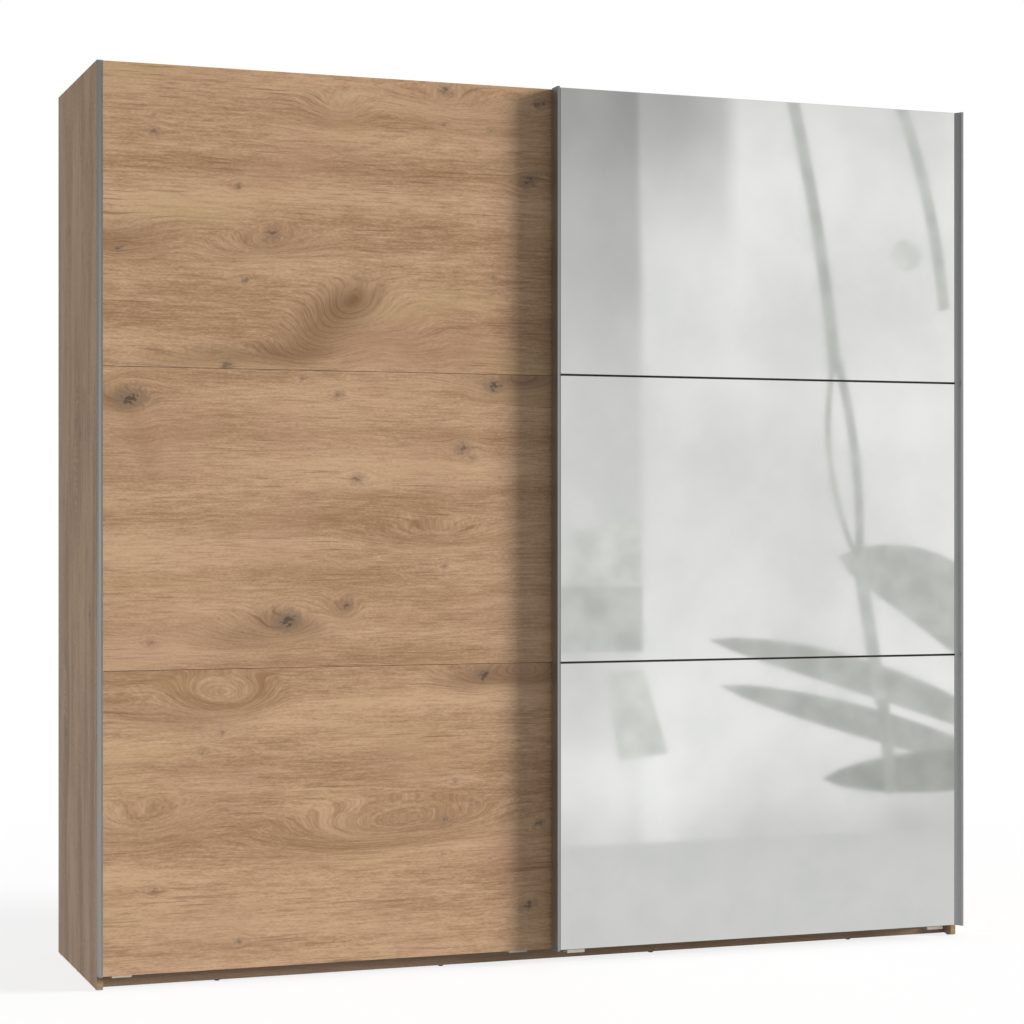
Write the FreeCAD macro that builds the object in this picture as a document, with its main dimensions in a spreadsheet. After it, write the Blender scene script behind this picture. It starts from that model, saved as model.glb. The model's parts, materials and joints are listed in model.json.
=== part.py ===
import FreeCAD, Part
import math
import os
from types import SimpleNamespace

import Sketcher

# Two-door sliding wardrobe. The origin is on the floor at the centre of the
# outer box: +X to the right, +Y to the back, +Z up. The doors face -Y.
# Lengths are millimetres. Every size below is a cell of the "Sizes" sheet.

SIZES = [
    ("wardrobe_width", 2480, "over both side panels"),
    ("wardrobe_height", 2360, "floor to the top edge of the side panels"),
    ("wardrobe_depth", 650, "back panel to the front of the mirror door's grips"),
    ("door_stack", 70, "side panels' front edge to the front of the mirror door's grips"),
    ("board", 16, "thickness of every chipboard panel"),
    ("hardboard", 3, "thickness of the back panels"),
    ("glide_height", 3, "plastic glides between the panels and the floor"),
    ("glide_diameter", 14, "nail-in glide"),
    ("glide_nail", 12, "nail of a glide above its disc"),
    ("glide_margin", 25, "side panel's front or rear edge to its nearest glide"),
    ("top_drop", 48, "side panels' top edge down to the top panel's upper face"),
    ("base_top", 78, "floor to the base panel's upper face"),
    ("deck_setback", 4, "top and base panel behind the side panels' front edge"),
    ("plinth_recess", 40, "plinth behind the side panels' front edge"),
    ("rear_plinth_inset", 19, "rear plinth's back face to the back panel"),
    ("hat_shelf_height", 1960, "floor to the underside of the hat shelves"),
    ("shelf_setback", 55, "hat shelf behind the side panels' front edge"),
    ("shelf_play", 0.5, "gap at each end and behind a hat shelf"),
    ("shelf_pin_inset", 60, "shelf pin to the shelf's front or rear edge"),
    ("shelf_pin_diameter", 5, "shelf pin"),
    ("shelf_pin_depth", 7, "shelf pin inside the panel"),
    ("shelf_pin_reach", 7.5, "shelf pin under the shelf"),
    ("shelf_pin_chamfer", 0.5, "chamfered end of a shelf pin"),
    ("back_margin", 3, "back panel's outer edge inside the side panel's face"),
    ("back_reach", 14, "back panel above the top and below the base panel's mid plane"),
    ("fold_groove", 2, "folding groove down the middle of a back panel"),
    ("door_width", 1240, "both doors"),
    ("door_bottom", 40, "floor to the doors' lower edge"),
    ("oak_door_height", 2315, "oak door, which runs in the inner track"),
    ("mirror_door_height", 2316, "mirror door, which runs in the outer track"),
    ("mirror_door_inset", 15.5, "closed mirror door's edge inside the right side panel's face"),
    ("door_gap", 4, "oak door's back to the side panels' front edge"),
    ("door_pitch", 26, "oak door's back to the mirror door's back"),
    ("board_joint", 1, "visible joint between two boards of a door"),
    ("tongue_thickness", 4, "joining strip between two door boards"),
    ("tongue_height", 20, "joining strip between two door boards"),
    ("tongue_play", 0.1, "play of a joining strip in its groove"),
    ("tongue_setback", 2, "joining strip's end inside the board's end"),
    ("mirror_glass", 4, "mirror thickness"),
    ("mirror_joint", 5, "gap between two mirrors"),
    ("mirror_grip_width", 17, "mirror door's grip profile over the door's face"),
    ("mirror_grip_height", 20, "mirror door's grip lip in front of the door's face"),
    ("oak_grip_width", 12, "oak door's grip profile over the door's face"),
    ("oak_grip_height", 5, "oak door's grip lip in front of the face, low enough to pass the mirror door"),
    ("grip_lip", 6.5, "front face of a grip's lip"),
    ("grip_wall", 1.6, "wall of a grip profile"),
    ("grip_chamber_foot", 4.6, "solid foot between a grip's chamber and its thin edge"),
    ("grip_edge", 0.8, "thin edge of the grip on the door's face"),
    ("grip_hollow_radius", 24, "concave finger side of the grip"),
    ("back_flange", 12, "flange of a vertical profile on the door's back"),
    ("cap_thickness", 1.5, "plastic cap at each end of a grip"),
    ("edge_wall", 1.2, "wall of the flat profile on the oak door's hidden edge"),
    ("rail_play", 2, "running rail and guide rail to a side panel"),
    ("rail_depth", 54, "running rail, front to back"),
    ("rail_base", 2, "running rail's base plate"),
    ("rail_flange", 18, "running rail's rear flange"),
    ("inner_track", 11, "rail's front edge to the middle of the inner track"),
    ("outer_track", 39, "rail's front edge to the middle of the outer track"),
    ("rib_width", 3, "rib that the wheels run on"),
    ("rib_height", 7, "rail's underside to the top of a rib"),
    ("guide_rail_depth", 34, "lower guide rail, front to back"),
    ("guide_rail_height", 12, "lower guide rail"),
    ("guide_slot", 6, "slot of the lower guide rail"),
    ("guide_slot_depth", 9, "slot of the lower guide rail"),
    ("guide_slot_inset", 8, "slot's middle to the guide rail's nearer edge"),
    ("guide_width", 50, "door guide, along the door"),
    ("guide_screw_offset", 15, "door guide's middle to each of its screws"),
    ("oak_guide_left_inset", 60, "oak door's left edge to the middle of its left guide"),
    ("oak_guide_right_inset", 110, "oak door's right edge to the middle of its right guide"),
    ("mirror_guide_left_inset", 62.5, "mirror door's left edge to the middle of its left guide"),
    ("mirror_guide_right_inset", 78, "mirror door's right edge to the middle of its right guide"),
    ("guide_fin", 5, "fin of a door guide that runs in a slot"),
    ("guide_fin_top", 57, "floor to the top of a guide's fin"),
    ("oak_guide_foot", 35.5, "floor to the underside of the oak door's guides"),
    ("mirror_guide_foot", 30, "floor to the underside of the mirror door's guides"),
    ("mirror_guide_tongue", 3.5, "tongue of the mirror door's guides"),
    ("carriage_width", 94, "roller carriage, along the door"),
    ("carriage_plate", 2.5, "sheet of a roller carriage"),
    ("carriage_bend", 3, "outer radius of a carriage's bends"),
    ("carriage_inner_bend", 0.5, "inner radius of a carriage's bends"),
    ("carriage_screw_inset", 12, "carriage's edge to its nearest screws"),
    ("carriage_screw_pitch", 28, "between the two rows of a carriage's screws"),
    ("carriage_foot", 2270, "floor to the lower edge of a carriage"),
    ("carriage_leg_foot", 2324, "floor to the lower edge of the leg that holds the wheels"),
    ("oak_carriage_top", 2350.5, "floor to the top of the oak door's carriages"),
    ("mirror_carriage_top", 2359, "floor to the top of the mirror door's carriages"),
    ("oak_carriage_inset", 77, "oak door's edge to the middle of a carriage"),
    ("mirror_carriage_inset", 60.5, "mirror door's edge to the middle of a carriage"),
    ("wheel_spacing", 56, "between the two wheels of a carriage"),
    ("wheel_diameter", 30, "over the wheel's flanges"),
    ("wheel_tread", 24, "at the bottom of the wheel's groove"),
    ("wheel_width", 10, "wheel"),
    ("wheel_groove", 4.4, "bottom of the wheel's groove"),
    ("wheel_groove_mouth", 5.6, "mouth of the wheel's groove"),
    ("wheel_chamfer", 0.5, "chamfer of the wheel's flanges"),
    ("wheel_clearance", 0.2, "wheel's tread above its rib"),
    ("wheel_hole", 2.6, "lightening hole of a wheel"),
    ("wheel_hole_circle", 15.5, "circle of the lightening holes"),
    ("axle_diameter", 6, "wheel axle"),
    ("axle_head", 9, "head of a wheel axle"),
    ("axle_head_thickness", 1.2, "head of a wheel axle"),
    ("axle_head_gap", 0.2, "head of a wheel axle in front of the wheel"),
    ("bore_play", 0.05, "radial play of a wheel on its axle"),
    ("leg_offset", 6.5, "wheel's middle to the front face of the carriage leg"),
    ("stop_length", 10, "rubber stop, along the rail"),
    ("stop_top", 14, "rubber stop above the rail's base plate"),
    ("stop_front", 4, "rubber stop in front of its track's middle"),
    ("stop_rear_margin", 1, "rubber stop behind the carriage leg's rear face"),
    ("door_travel", 1190, "travel of each door"),
    ("stop_play", 1, "carriage to its stop at the end of the travel"),
    ("cam_diameter", 15, "cam lock"),
    ("cam_depth", 12.5, "cam lock"),
    ("cam_inset", 34, "cam lock's middle to the joint"),
    ("cam_bolt_diameter", 6, "shank of a cam bolt"),
    ("cam_bolt_head", 7, "head of a cam bolt"),
    ("cam_bolt_thread", 5, "threaded end of a cam bolt"),
    ("cam_bolt_grip", 10, "cam bolt inside the neighbouring panel"),
    ("cam_bolt_neck", 4, "length of the neck behind a cam bolt's head"),
    ("cam_bolt_head_length", 3, "length of a cam bolt's head"),
    ("cam_bolt_head_play", 0.2, "radial play of a cam bolt's head in its bore"),
    ("cam_mouth_play", 0.6, "cam lock's mouth over the bolt's head"),
    ("cam_slot", 1.6, "width of the cross slot on a cam lock"),
    ("cam_slot_depth", 2, "depth of the cross slot on a cam lock"),
    ("bolt_row_front", 46, "deck panel's front edge to the first cam bolts"),
    ("bolt_row_middle", 286, "deck panel's front edge to the middle cam bolts"),
    ("bolt_row_rear", 37, "deck panel's rear edge to the last cam bolts"),
    ("dowel_row_front", 86, "deck panel's front edge to the first dowels"),
    ("dowel_row_rear", 77, "deck panel's rear edge to the last dowels"),
    ("partition_bolt_front", 101, "partition's front edge to its first cam bolts"),
    ("partition_bolt_rear", 102, "partition's rear edge to its last cam bolts"),
    ("partition_dowel_front", 181, "partition's front edge to its first dowels"),
    ("partition_dowel_rear", 182, "partition's rear edge to its last dowels"),
    ("dowel_diameter", 8, "beech dowel"),
    ("dowel_length", 30, "beech dowel"),
    ("dowel_in_face", 10, "dowel inside the panel's face"),
    ("fitting_chamfer", 1, "chamfered end of a dowel, a glide or a screw head"),
    ("tube_height", 30, "oval clothes rail"),
    ("tube_depth", 15, "oval clothes rail"),
    ("tube_wall", 1.2, "oval clothes rail"),
    ("tube_drop", 60, "hat shelf's underside to the clothes rail's middle"),
    ("bracket_plate", 3, "clothes rail bracket's plate"),
    ("bracket_cup", 12, "clothes rail bracket's cup"),
    ("bracket_wall", 2.5, "clothes rail bracket's cup"),
    ("bracket_play", 0.2, "clothes rail in its bracket's cup"),
    ("bracket_rim", 2, "bracket's plate beyond each side of its cup"),
    ("bracket_height", 62, "clothes rail bracket's plate"),
    ("bracket_screw_spacing", 48, "between the two screws of a bracket"),
    ("screw_head", 7, "pan head screw"),
    ("screw_head_height", 2, "pan head screw"),
    ("screw_diameter", 3.5, "pan head screw"),
    ("screw_length", 14.5, "pan head screw, under its head"),
    ("screw_tip", 3, "tapered tip of a screw"),
    ("counterbore_play", 0.4, "counterbore wider than a screw's head"),
    ("counterbore_margin", 0.2, "counterbore deeper than a screw's head"),
    ("running_rail_screw_margin", 45, "running rail's end to its nearest screw"),
    ("guide_rail_screw_margin", 80, "guide rail's end to its nearest screw"),
    ("long_screw_length", 25, "pan head screw through the guide rail, under its head"),
    ("screw_hole", 4.2, "hole for a pan head screw in a metal or plastic part"),
    ("nail_head", 4, "back panel nail"),
    ("nail_head_height", 0.6, "back panel nail"),
    ("nail_diameter", 1.6, "back panel nail"),
    ("nail_length", 20, "back panel nail"),
    ("nail_tip", 2, "tapered tip of a nail"),
    ("nail_margin", 60, "deck's mid plane to the nearest nail in an upright"),
    ("nail_offset", 5, "partition's mid plane to the nails of each back panel"),
]

# Numbers that are not lengths of the wardrobe: a tolerance and the counts of its fittings.
TOUCH = 1e-6
SCREW_COLUMNS = 7
NAIL_ROWS = 9
NAIL_COLUMNS = 4
WHEEL_HOLES = 5
LEVEL_NAMES = ("bottom", "middle", "top")


class Size:
    """A length that knows both its number and the sheet expression behind it."""

    def __init__(self, value, text):
        self.value = value
        self.text = text

    def __add__(self, other):
        other = as_size(other)
        return Size(self.value + other.value, f"({self.text} + {other.text})")

    def __sub__(self, other):
        other = as_size(other)
        return Size(self.value - other.value, f"({self.text} - {other.text})")

    def __mul__(self, other):
        other = as_size(other)
        return Size(self.value * other.value, f"({self.text} * {other.text})")

    def __truediv__(self, other):
        other = as_size(other)
        return Size(self.value / other.value, f"({self.text} / {other.text})")

    def __radd__(self, other):
        return as_size(other) + self

    def __rsub__(self, other):
        return as_size(other) - self

    def __rmul__(self, other):
        return as_size(other) * self

    def __neg__(self):
        return Size(-self.value, f"(0 - {self.text})")


def as_size(number):
    if isinstance(number, Size):
        return number
    return Size(float(number), f"({number:g})")


doc = FreeCAD.newDocument("SlidingDoorWardrobe")
sheet = doc.addObject("Spreadsheet::Sheet", "Sizes")
for row, (name, number, meaning) in enumerate(SIZES, start=1):
    sheet.set(f"A{row}", meaning)
    sheet.set(f"B{row}", str(number))
    sheet.setAlias(f"B{row}", name)
doc.recompute()
s = SimpleNamespace(**{name: Size(float(number), f"Sizes.{name}") for name, number, meaning in SIZES})

parts = []


# ---------------------------------------------------------------- helpers

def bind(thing, name, size):
    """Binds a property, or one of a sketch's constraints, to the sheet."""
    thing.setExpression(name, as_size(size).text)


def place(thing, x, y, z, axis=(0, 0, 1), angle=0):
    x, y, z = as_size(x), as_size(y), as_size(z)
    turn = FreeCAD.Rotation(FreeCAD.Vector(*axis), angle)
    thing.Placement = FreeCAD.Placement(FreeCAD.Vector(x.value, y.value, z.value), turn)
    bind(thing, "Placement.Base.x", x)
    bind(thing, "Placement.Base.y", y)
    bind(thing, "Placement.Base.z", z)
    return thing


def new_body(label, is_part=True):
    body = doc.addObject("PartDesign::Body", label)
    body.Label = label
    if is_part:
        parts.append(body)
    return body


def new_sketch(body, role, offset=0):
    """A sketch on one of the body's own origin planes, or parallel to it."""
    sketch = body.newObject("Sketcher::SketchObject", f"{body.Label}_sketch")
    plane = next(feature for feature in body.Origin.OriginFeatures if feature.Role == role)
    sketch.AttachmentSupport = [(plane, "")]
    sketch.MapMode = "FlatFace"
    bind(sketch, "AttachmentOffset.Base.z", offset)
    return sketch


def hold(sketch, item, point, kind, size):
    """Holds one coordinate (DistanceX or DistanceY) of a sketch point."""
    size = as_size(size)
    if abs(size.value) < TOUCH:
        axis = -2 if kind == "DistanceX" else -1
        sketch.addConstraint(Sketcher.Constraint("PointOnObject", item, point, axis))
    else:
        index = sketch.addConstraint(Sketcher.Constraint(kind, -1, 1, item, point, size.value))
        bind(sketch, f"Constraints[{index}]", size)


def pin(sketch, item, point, x, y):
    hold(sketch, item, point, "DistanceX", x)
    hold(sketch, item, point, "DistanceY", y)


def arc_through(start, end, radius):
    """An arc from start to end; a positive radius has its centre on the left."""
    chord = end - start
    height = math.sqrt(max(radius * radius - chord.Length ** 2 / 4, 0))
    left = FreeCAD.Vector(-chord.y, chord.x, 0).normalize()
    centre = (start + end) / 2 + left * math.copysign(height, radius)
    first, last = (start, end) if radius > 0 else (end, start)
    angles = [math.atan2(p.y - centre.y, p.x - centre.x) for p in (first, last)]
    ring = Part.Circle(centre, FreeCAD.Vector(0, 0, 1), abs(radius))
    return Part.ArcOfCircle(ring, angles[0], angles[1])


def outline(sketch, corners):
    """A closed outline. A corner (x, y, radius) starts an arc to the next one."""
    corners = [tuple(as_size(value) for value in corner) for corner in corners]
    points = [FreeCAD.Vector(corner[0].value, corner[1].value, 0) for corner in corners]
    ends = []
    for index, corner in enumerate(corners):
        start, end = points[index], points[(index + 1) % len(points)]
        if len(corner) == 2:
            item = sketch.addGeometry(Part.LineSegment(start, end))
            ends.append((item, 1, 2))
            continue
        radius = corner[2]
        item = sketch.addGeometry(arc_through(start, end, radius.value))
        ends.append((item, 1, 2) if radius.value > 0 else (item, 2, 1))
        if abs((end - start).Length - 2 * abs(radius.value)) > TOUCH:
            size = radius if radius.value > 0 else -radius
            row = sketch.addConstraint(Sketcher.Constraint("Radius", item, size.value))
            bind(sketch, f"Constraints[{row}]", size)
        elif abs(start.y - end.y) < TOUCH:
            hold(sketch, item, 3, "DistanceY", corner[1])
        else:
            hold(sketch, item, 3, "DistanceX", corner[0])
    for index, corner in enumerate(corners):
        previous = ends[index - 1]
        item, first, last = ends[index]
        sketch.addConstraint(Sketcher.Constraint("Coincident", previous[0], previous[2], item, first))
        pin(sketch, item, first, corner[0], corner[1])


def rectangle(sketch, x, y, width, height):
    outline(sketch, [(x, y), (x + width, y), (x + width, y + height), (x, y + height)])


def circle(sketch, x, y, diameter):
    x, y, diameter = as_size(x), as_size(y), as_size(diameter)
    centre = FreeCAD.Vector(x.value, y.value, 0)
    item = sketch.addGeometry(Part.Circle(centre, FreeCAD.Vector(0, 0, 1), diameter.value / 2))
    pin(sketch, item, 3, x, y)
    row = sketch.addConstraint(Sketcher.Constraint("Diameter", item, diameter.value))
    bind(sketch, f"Constraints[{row}]", diameter)


def pad(body, sketch, length):
    feature = body.newObject("PartDesign::Pad", f"{body.Label}_pad")
    feature.Profile = sketch
    feature.Length = as_size(length).value
    bind(feature, "Length", length)
    return feature


def pocket(body, sketch, depth, along_normal=False):
    """Cuts the sketch into the body, and stops if nothing was cut away."""
    doc.recompute()
    before = body.Shape.Volume
    feature = body.newObject("PartDesign::Pocket", f"{body.Label}_pocket")
    feature.Profile = sketch
    feature.Length = as_size(depth).value
    feature.Reversed = along_normal
    bind(feature, "Length", depth)
    doc.recompute()
    if body.Shape.Volume > before - TOUCH:
        raise RuntimeError(f"{feature.Label} cuts nothing")
    return feature


def drill(body, role, offset, holes, depth, along_normal=False):
    """Round holes (x, y, diameter) bored from a plane of the body."""
    sketch = new_sketch(body, role, offset)
    for x, y, diameter in holes:
        circle(sketch, x, y, diameter)
    return pocket(body, sketch, depth, along_normal)


def panel(label, x, y, z, size_x, size_y, size_z):
    """A plain board with its lower left front corner at (x, y, z)."""
    body = new_body(label)
    sketch = new_sketch(body, "XY_Plane")
    rectangle(sketch, as_size(0), as_size(0), as_size(size_x), as_size(size_y))
    pad(body, sketch, size_z)
    return place(body, x, y, z)


def extrusion(label, corners, length, x, y, z, role="YZ_Plane", hollow=None, is_part=True):
    """A constant section: a YZ section runs along +X, an XY one along +Z."""
    body = new_body(label, is_part)
    sketch = new_sketch(body, role)
    outline(sketch, corners)
    if hollow:
        outline(sketch, hollow)
    pad(body, sketch, length)
    return place(body, x, y, z)


def turned(label, corners, is_part=True):
    """A solid of revolution about its own Z axis; corners are (radius, height)."""
    body = new_body(label, is_part)
    sketch = new_sketch(body, "XZ_Plane")
    outline(sketch, corners)
    feature = body.newObject("PartDesign::Revolution", f"{body.Label}_revolution")
    feature.Profile = sketch
    feature.ReferenceAxis = (sketch, ["V_Axis"])
    feature.Angle = 360
    return body


def group(label, pieces):
    """One node of separate identical pieces: (template, x, y, z, axis, angle)."""
    links = []
    for template, x, y, z, axis, angle in pieces:
        link = doc.addObject("App::Link", f"{label}_piece")
        link.LinkedObject = template
        links.append(place(link, x, y, z, axis, angle))
    compound = doc.addObject("Part::Compound", label)
    compound.Label = label
    compound.Links = links
    parts.append(compound)
    return compound


UP = ((0, 0, 1), 0)
DOWN = ((1, 0, 0), 180)
TO_LEFT = ((0, 1, 0), -90)
TO_RIGHT = ((0, 1, 0), 90)
TO_FRONT = ((1, 0, 0), 90)
TO_BACK = ((1, 0, 0), -90)


# ------------------------------------------------- main planes of the wardrobe

half_width = s.wardrobe_width / 2
inner_face = half_width - s.board
back_face = s.wardrobe_depth / 2
carcass_back = back_face - s.hardboard
side_front = s.door_stack - back_face
deck_front = side_front + s.deck_setback
deck_depth = carcass_back - deck_front
top_panel_upper = s.wardrobe_height - s.top_drop
top_panel_lower = top_panel_upper - s.board
base_lower = s.base_top - s.board
plinth_front_face = side_front + s.plinth_recess
oak_back = side_front - s.door_gap
oak_front = oak_back - s.board
mirror_board_back = oak_back - s.door_pitch
mirror_board_front = mirror_board_back - s.board
mirror_face = mirror_board_front - s.mirror_glass
oak_left = -half_width
oak_right = oak_left + s.door_width
mirror_right = half_width - s.mirror_door_inset
mirror_left = mirror_right - s.door_width
side_height = s.wardrobe_height - s.glide_height
plinth_height = base_lower - s.glide_height
plinth_middle_z = s.glide_height + plinth_height / 2
rear_plinth_front = carcass_back - s.rear_plinth_inset - s.board
half_board = s.board / 2

# Joints of the carcass, from front to back.
bolt_rows = [deck_front + s.bolt_row_front, deck_front + s.bolt_row_middle, carcass_back - s.bolt_row_rear]
dowel_rows = [deck_front + s.dowel_row_front, carcass_back - s.dowel_row_rear]
partition_bolt_rows = [deck_front + s.partition_bolt_front, carcass_back - s.partition_bolt_rear]
partition_dowel_rows = [deck_front + s.partition_dowel_front, carcass_back - s.partition_dowel_rear]
plinth_rows = [plinth_front_face + half_board, rear_plinth_front + half_board]
pin_rows = [side_front + s.shelf_setback + s.shelf_pin_inset, carcass_back - s.shelf_pin_inset]
base_level = base_lower + half_board
top_level = top_panel_lower + half_board
deck_levels = [base_level, top_level]
shelf_pin_z = s.hat_shelf_height - s.shelf_pin_diameter / 2


# ----------------------------------------------------------- carcass panels

def side_panel(label, left):
    """A full-height side with the borings of its inner face."""
    x = -half_width if left else inner_face
    body = panel(label, x, side_front, s.glide_height, s.board, carcass_back - side_front, side_height)
    face = s.board if left else as_size(0)
    bolts = []
    dowels = []
    for level in deck_levels:
        bolts += [(row - side_front, level - s.glide_height, s.cam_bolt_thread) for row in bolt_rows]
        dowels += [(row - side_front, level - s.glide_height, s.dowel_diameter) for row in dowel_rows]
    for row in plinth_rows:
        dowels.append((row - side_front, plinth_middle_z - s.glide_height, s.dowel_diameter))
    pins = [(row - side_front, shelf_pin_z - s.glide_height, s.shelf_pin_diameter) for row in pin_rows]
    drill(body, "YZ_Plane", face, bolts + dowels + pins, s.cam_bolt_grip, along_normal=not left)


def deck_panel(label, z, cams_on_top):
    """The top or base panel: cam borings near each end and bolt borings in the ends."""
    body = panel(label, -inner_face, deck_front, z, 2 * inner_face, deck_depth, s.board)
    cam_x = [s.cam_inset, 2 * inner_face - s.cam_inset]
    cams = [(x, row - deck_front, s.cam_diameter) for x in cam_x for row in bolt_rows]
    cam_face = s.board if cams_on_top else as_size(0)
    drill(body, "XY_Plane", cam_face, cams, s.cam_depth, along_normal=not cams_on_top)
    bolts = [(row - deck_front, half_board, s.cam_bolt_head) for row in bolt_rows]
    dowels = [(row - deck_front, half_board, s.dowel_diameter) for row in dowel_rows]
    dowel_depth = s.dowel_length - s.dowel_in_face
    for face, inwards in ((as_size(0), True), (2 * inner_face, False)):
        drill(body, "YZ_Plane", face, bolts, s.cam_inset, along_normal=inwards)
        drill(body, "YZ_Plane", face, dowels, dowel_depth, along_normal=inwards)
    holes = [(inner_face, row - deck_front, s.cam_bolt_thread) for row in partition_bolt_rows]
    holes += [(inner_face, row - deck_front, s.dowel_diameter) for row in partition_dowel_rows]
    partition_face = as_size(0) if cams_on_top else s.board
    drill(body, "XY_Plane", partition_face, holes, s.cam_bolt_grip, along_normal=cams_on_top)


def middle_partition():
    """Stands between the base and top panel, with cams in its left face."""
    height = top_panel_lower - s.base_top
    body = panel("middle_partition", -half_board, deck_front, s.base_top, s.board, deck_depth, height)
    cam_z = [s.cam_inset, height - s.cam_inset]
    cams = [(row - deck_front, z, s.cam_diameter) for row in partition_bolt_rows for z in cam_z]
    drill(body, "YZ_Plane", 0, cams, s.cam_depth, along_normal=True)
    bolts = [(half_board, row - deck_front, s.cam_bolt_head) for row in partition_bolt_rows]
    dowels = [(half_board, row - deck_front, s.dowel_diameter) for row in partition_dowel_rows]
    dowel_depth = s.dowel_length - s.dowel_in_face
    for face, inwards in ((as_size(0), True), (height, False)):
        drill(body, "XY_Plane", face, bolts, s.cam_inset, along_normal=inwards)
        drill(body, "XY_Plane", face, dowels, dowel_depth, along_normal=inwards)
    pins = [(row - deck_front, shelf_pin_z - s.base_top, s.shelf_pin_diameter) for row in pin_rows]
    drill(body, "YZ_Plane", 0, pins, s.shelf_pin_depth, along_normal=True)
    drill(body, "YZ_Plane", s.board, pins, s.shelf_pin_depth)


def cross_plinth(label, y, inner_side):
    """A plinth across the wardrobe, dowelled to both sides and to the middle plinth."""
    body = panel(label, -inner_face, y, s.glide_height, 2 * inner_face, s.board, plinth_height)
    hole = [(half_board, plinth_height / 2, s.dowel_diameter)]
    dowel_depth = s.dowel_length - s.dowel_in_face
    drill(body, "YZ_Plane", 0, hole, dowel_depth, along_normal=True)
    drill(body, "YZ_Plane", 2 * inner_face, hole, dowel_depth)
    middle = [(inner_face, plinth_height / 2, s.dowel_diameter)]
    offset = -s.board if inner_side else as_size(0)
    drill(body, "XZ_Plane", offset, middle, s.dowel_in_face, along_normal=inner_side)


def middle_plinth():
    front = plinth_front_face + s.board
    length = rear_plinth_front - front
    body = panel("plinth_middle", -half_board, front, s.glide_height, s.board, length, plinth_height)
    hole = [(half_board, plinth_height / 2, s.dowel_diameter)]
    dowel_depth = s.dowel_length - s.dowel_in_face
    drill(body, "XZ_Plane", 0, hole, dowel_depth)
    drill(body, "XZ_Plane", -length, hole, dowel_depth, along_normal=True)


def back_panel(label, left):
    """Half of the back: hardboard with a vertical folding groove at its middle."""
    lower = base_level - s.back_reach
    height = top_level + s.back_reach - lower
    width = half_width - s.back_margin - s.shelf_play
    x = s.back_margin - half_width if left else s.shelf_play
    body = panel(label, x, carcass_back, lower, width, s.hardboard, height)
    groove = new_sketch(body, "XY_Plane", height)
    middle = width / 2
    half = s.fold_groove / 2
    outline(groove, [
        (middle - half, s.hardboard), (middle, s.hardboard / 2), (middle + half, s.hardboard)])
    pocket(body, groove, height)


def hat_shelf(label, left):
    x = s.shelf_play - inner_face if left else half_board + s.shelf_play
    width = inner_face - half_board - 2 * s.shelf_play
    front = side_front + s.shelf_setback
    panel(label, x, front, s.hat_shelf_height, width, carcass_back - s.shelf_play - front, s.board)


side_panel("side_panel_left", True)
side_panel("side_panel_right", False)
deck_panel("top_panel", top_panel_lower, True)
deck_panel("base_panel", base_lower, False)
middle_partition()
cross_plinth("plinth_front", plinth_front_face, True)
cross_plinth("plinth_rear", rear_plinth_front, False)
middle_plinth()
back_panel("back_panel_left", True)
back_panel("back_panel_right", False)
hat_shelf("hat_shelf_left", True)
hat_shelf("hat_shelf_right", False)


# ------------------------------------------------------ carcass fittings

def screw_template(label, length):
    """Pan head screw: z = 0 is the underside of its head, the tip points down."""
    radius = s.screw_diameter / 2
    head = s.screw_head / 2
    return turned(label, [
        (0, s.screw_head_height), (0, -length), (radius, s.screw_tip - length), (radius, 0),
        (head, 0), (head, s.screw_head_height / 2),
        (head - s.fitting_chamfer, s.screw_head_height)], is_part=False)


def nail_template():
    radius = s.nail_diameter / 2
    head = s.nail_head / 2
    return turned("nail_template", [
        (0, 0), (0, -s.nail_length), (radius, s.nail_tip - s.nail_length),
        (radius, -s.nail_head_height), (head, -s.nail_head_height), (head, 0)], is_part=False)


def glide_template():
    radius = s.glide_diameter / 2
    nail_radius = s.nail_diameter / 2
    tip = s.glide_height + s.glide_nail
    return turned("glide_template", [
        (0, 0), (radius - s.fitting_chamfer, 0), (radius, s.fitting_chamfer), (radius, s.glide_height),
        (nail_radius, s.glide_height), (nail_radius, tip - s.nail_tip), (0, tip)], is_part=False)


def dowel_template():
    radius = s.dowel_diameter / 2
    chamfer = s.fitting_chamfer
    return turned("dowel_template", [
        (0, 0), (radius - chamfer, 0), (radius, chamfer), (radius, s.dowel_length - chamfer),
        (radius - chamfer, s.dowel_length), (0, s.dowel_length)], is_part=False)


def shelf_pin_template():
    """Shelf pin: z = 0 is the panel's face, the shelf's side is up."""
    radius = s.shelf_pin_diameter / 2
    return turned("shelf_pin_template", [
        (0, -s.shelf_pin_depth), (radius, -s.shelf_pin_depth),
        (radius, s.shelf_pin_reach - s.shelf_pin_chamfer),
        (radius - s.shelf_pin_chamfer, s.shelf_pin_reach), (0, s.shelf_pin_reach)], is_part=False)


def cam_bolt_template():
    """Cam bolt: z = 0 is the joint, its head is at the middle of the cam lock."""
    shank = s.cam_bolt_diameter / 2
    head = s.cam_bolt_head / 2 - s.cam_bolt_head_play
    thread = s.cam_bolt_thread / 2
    neck = shank - s.fitting_chamfer
    head_foot = s.cam_inset - s.cam_bolt_head_length
    neck_foot = head_foot - s.cam_bolt_neck
    return turned("cam_bolt_template", [
        (0, -s.cam_bolt_grip), (thread, -s.cam_bolt_grip), (thread, 0), (shank, 0),
        (shank, neck_foot), (neck, neck_foot), (neck, head_foot),
        (head, head_foot), (head, s.cam_inset), (0, s.cam_inset)], is_part=False)


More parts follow.
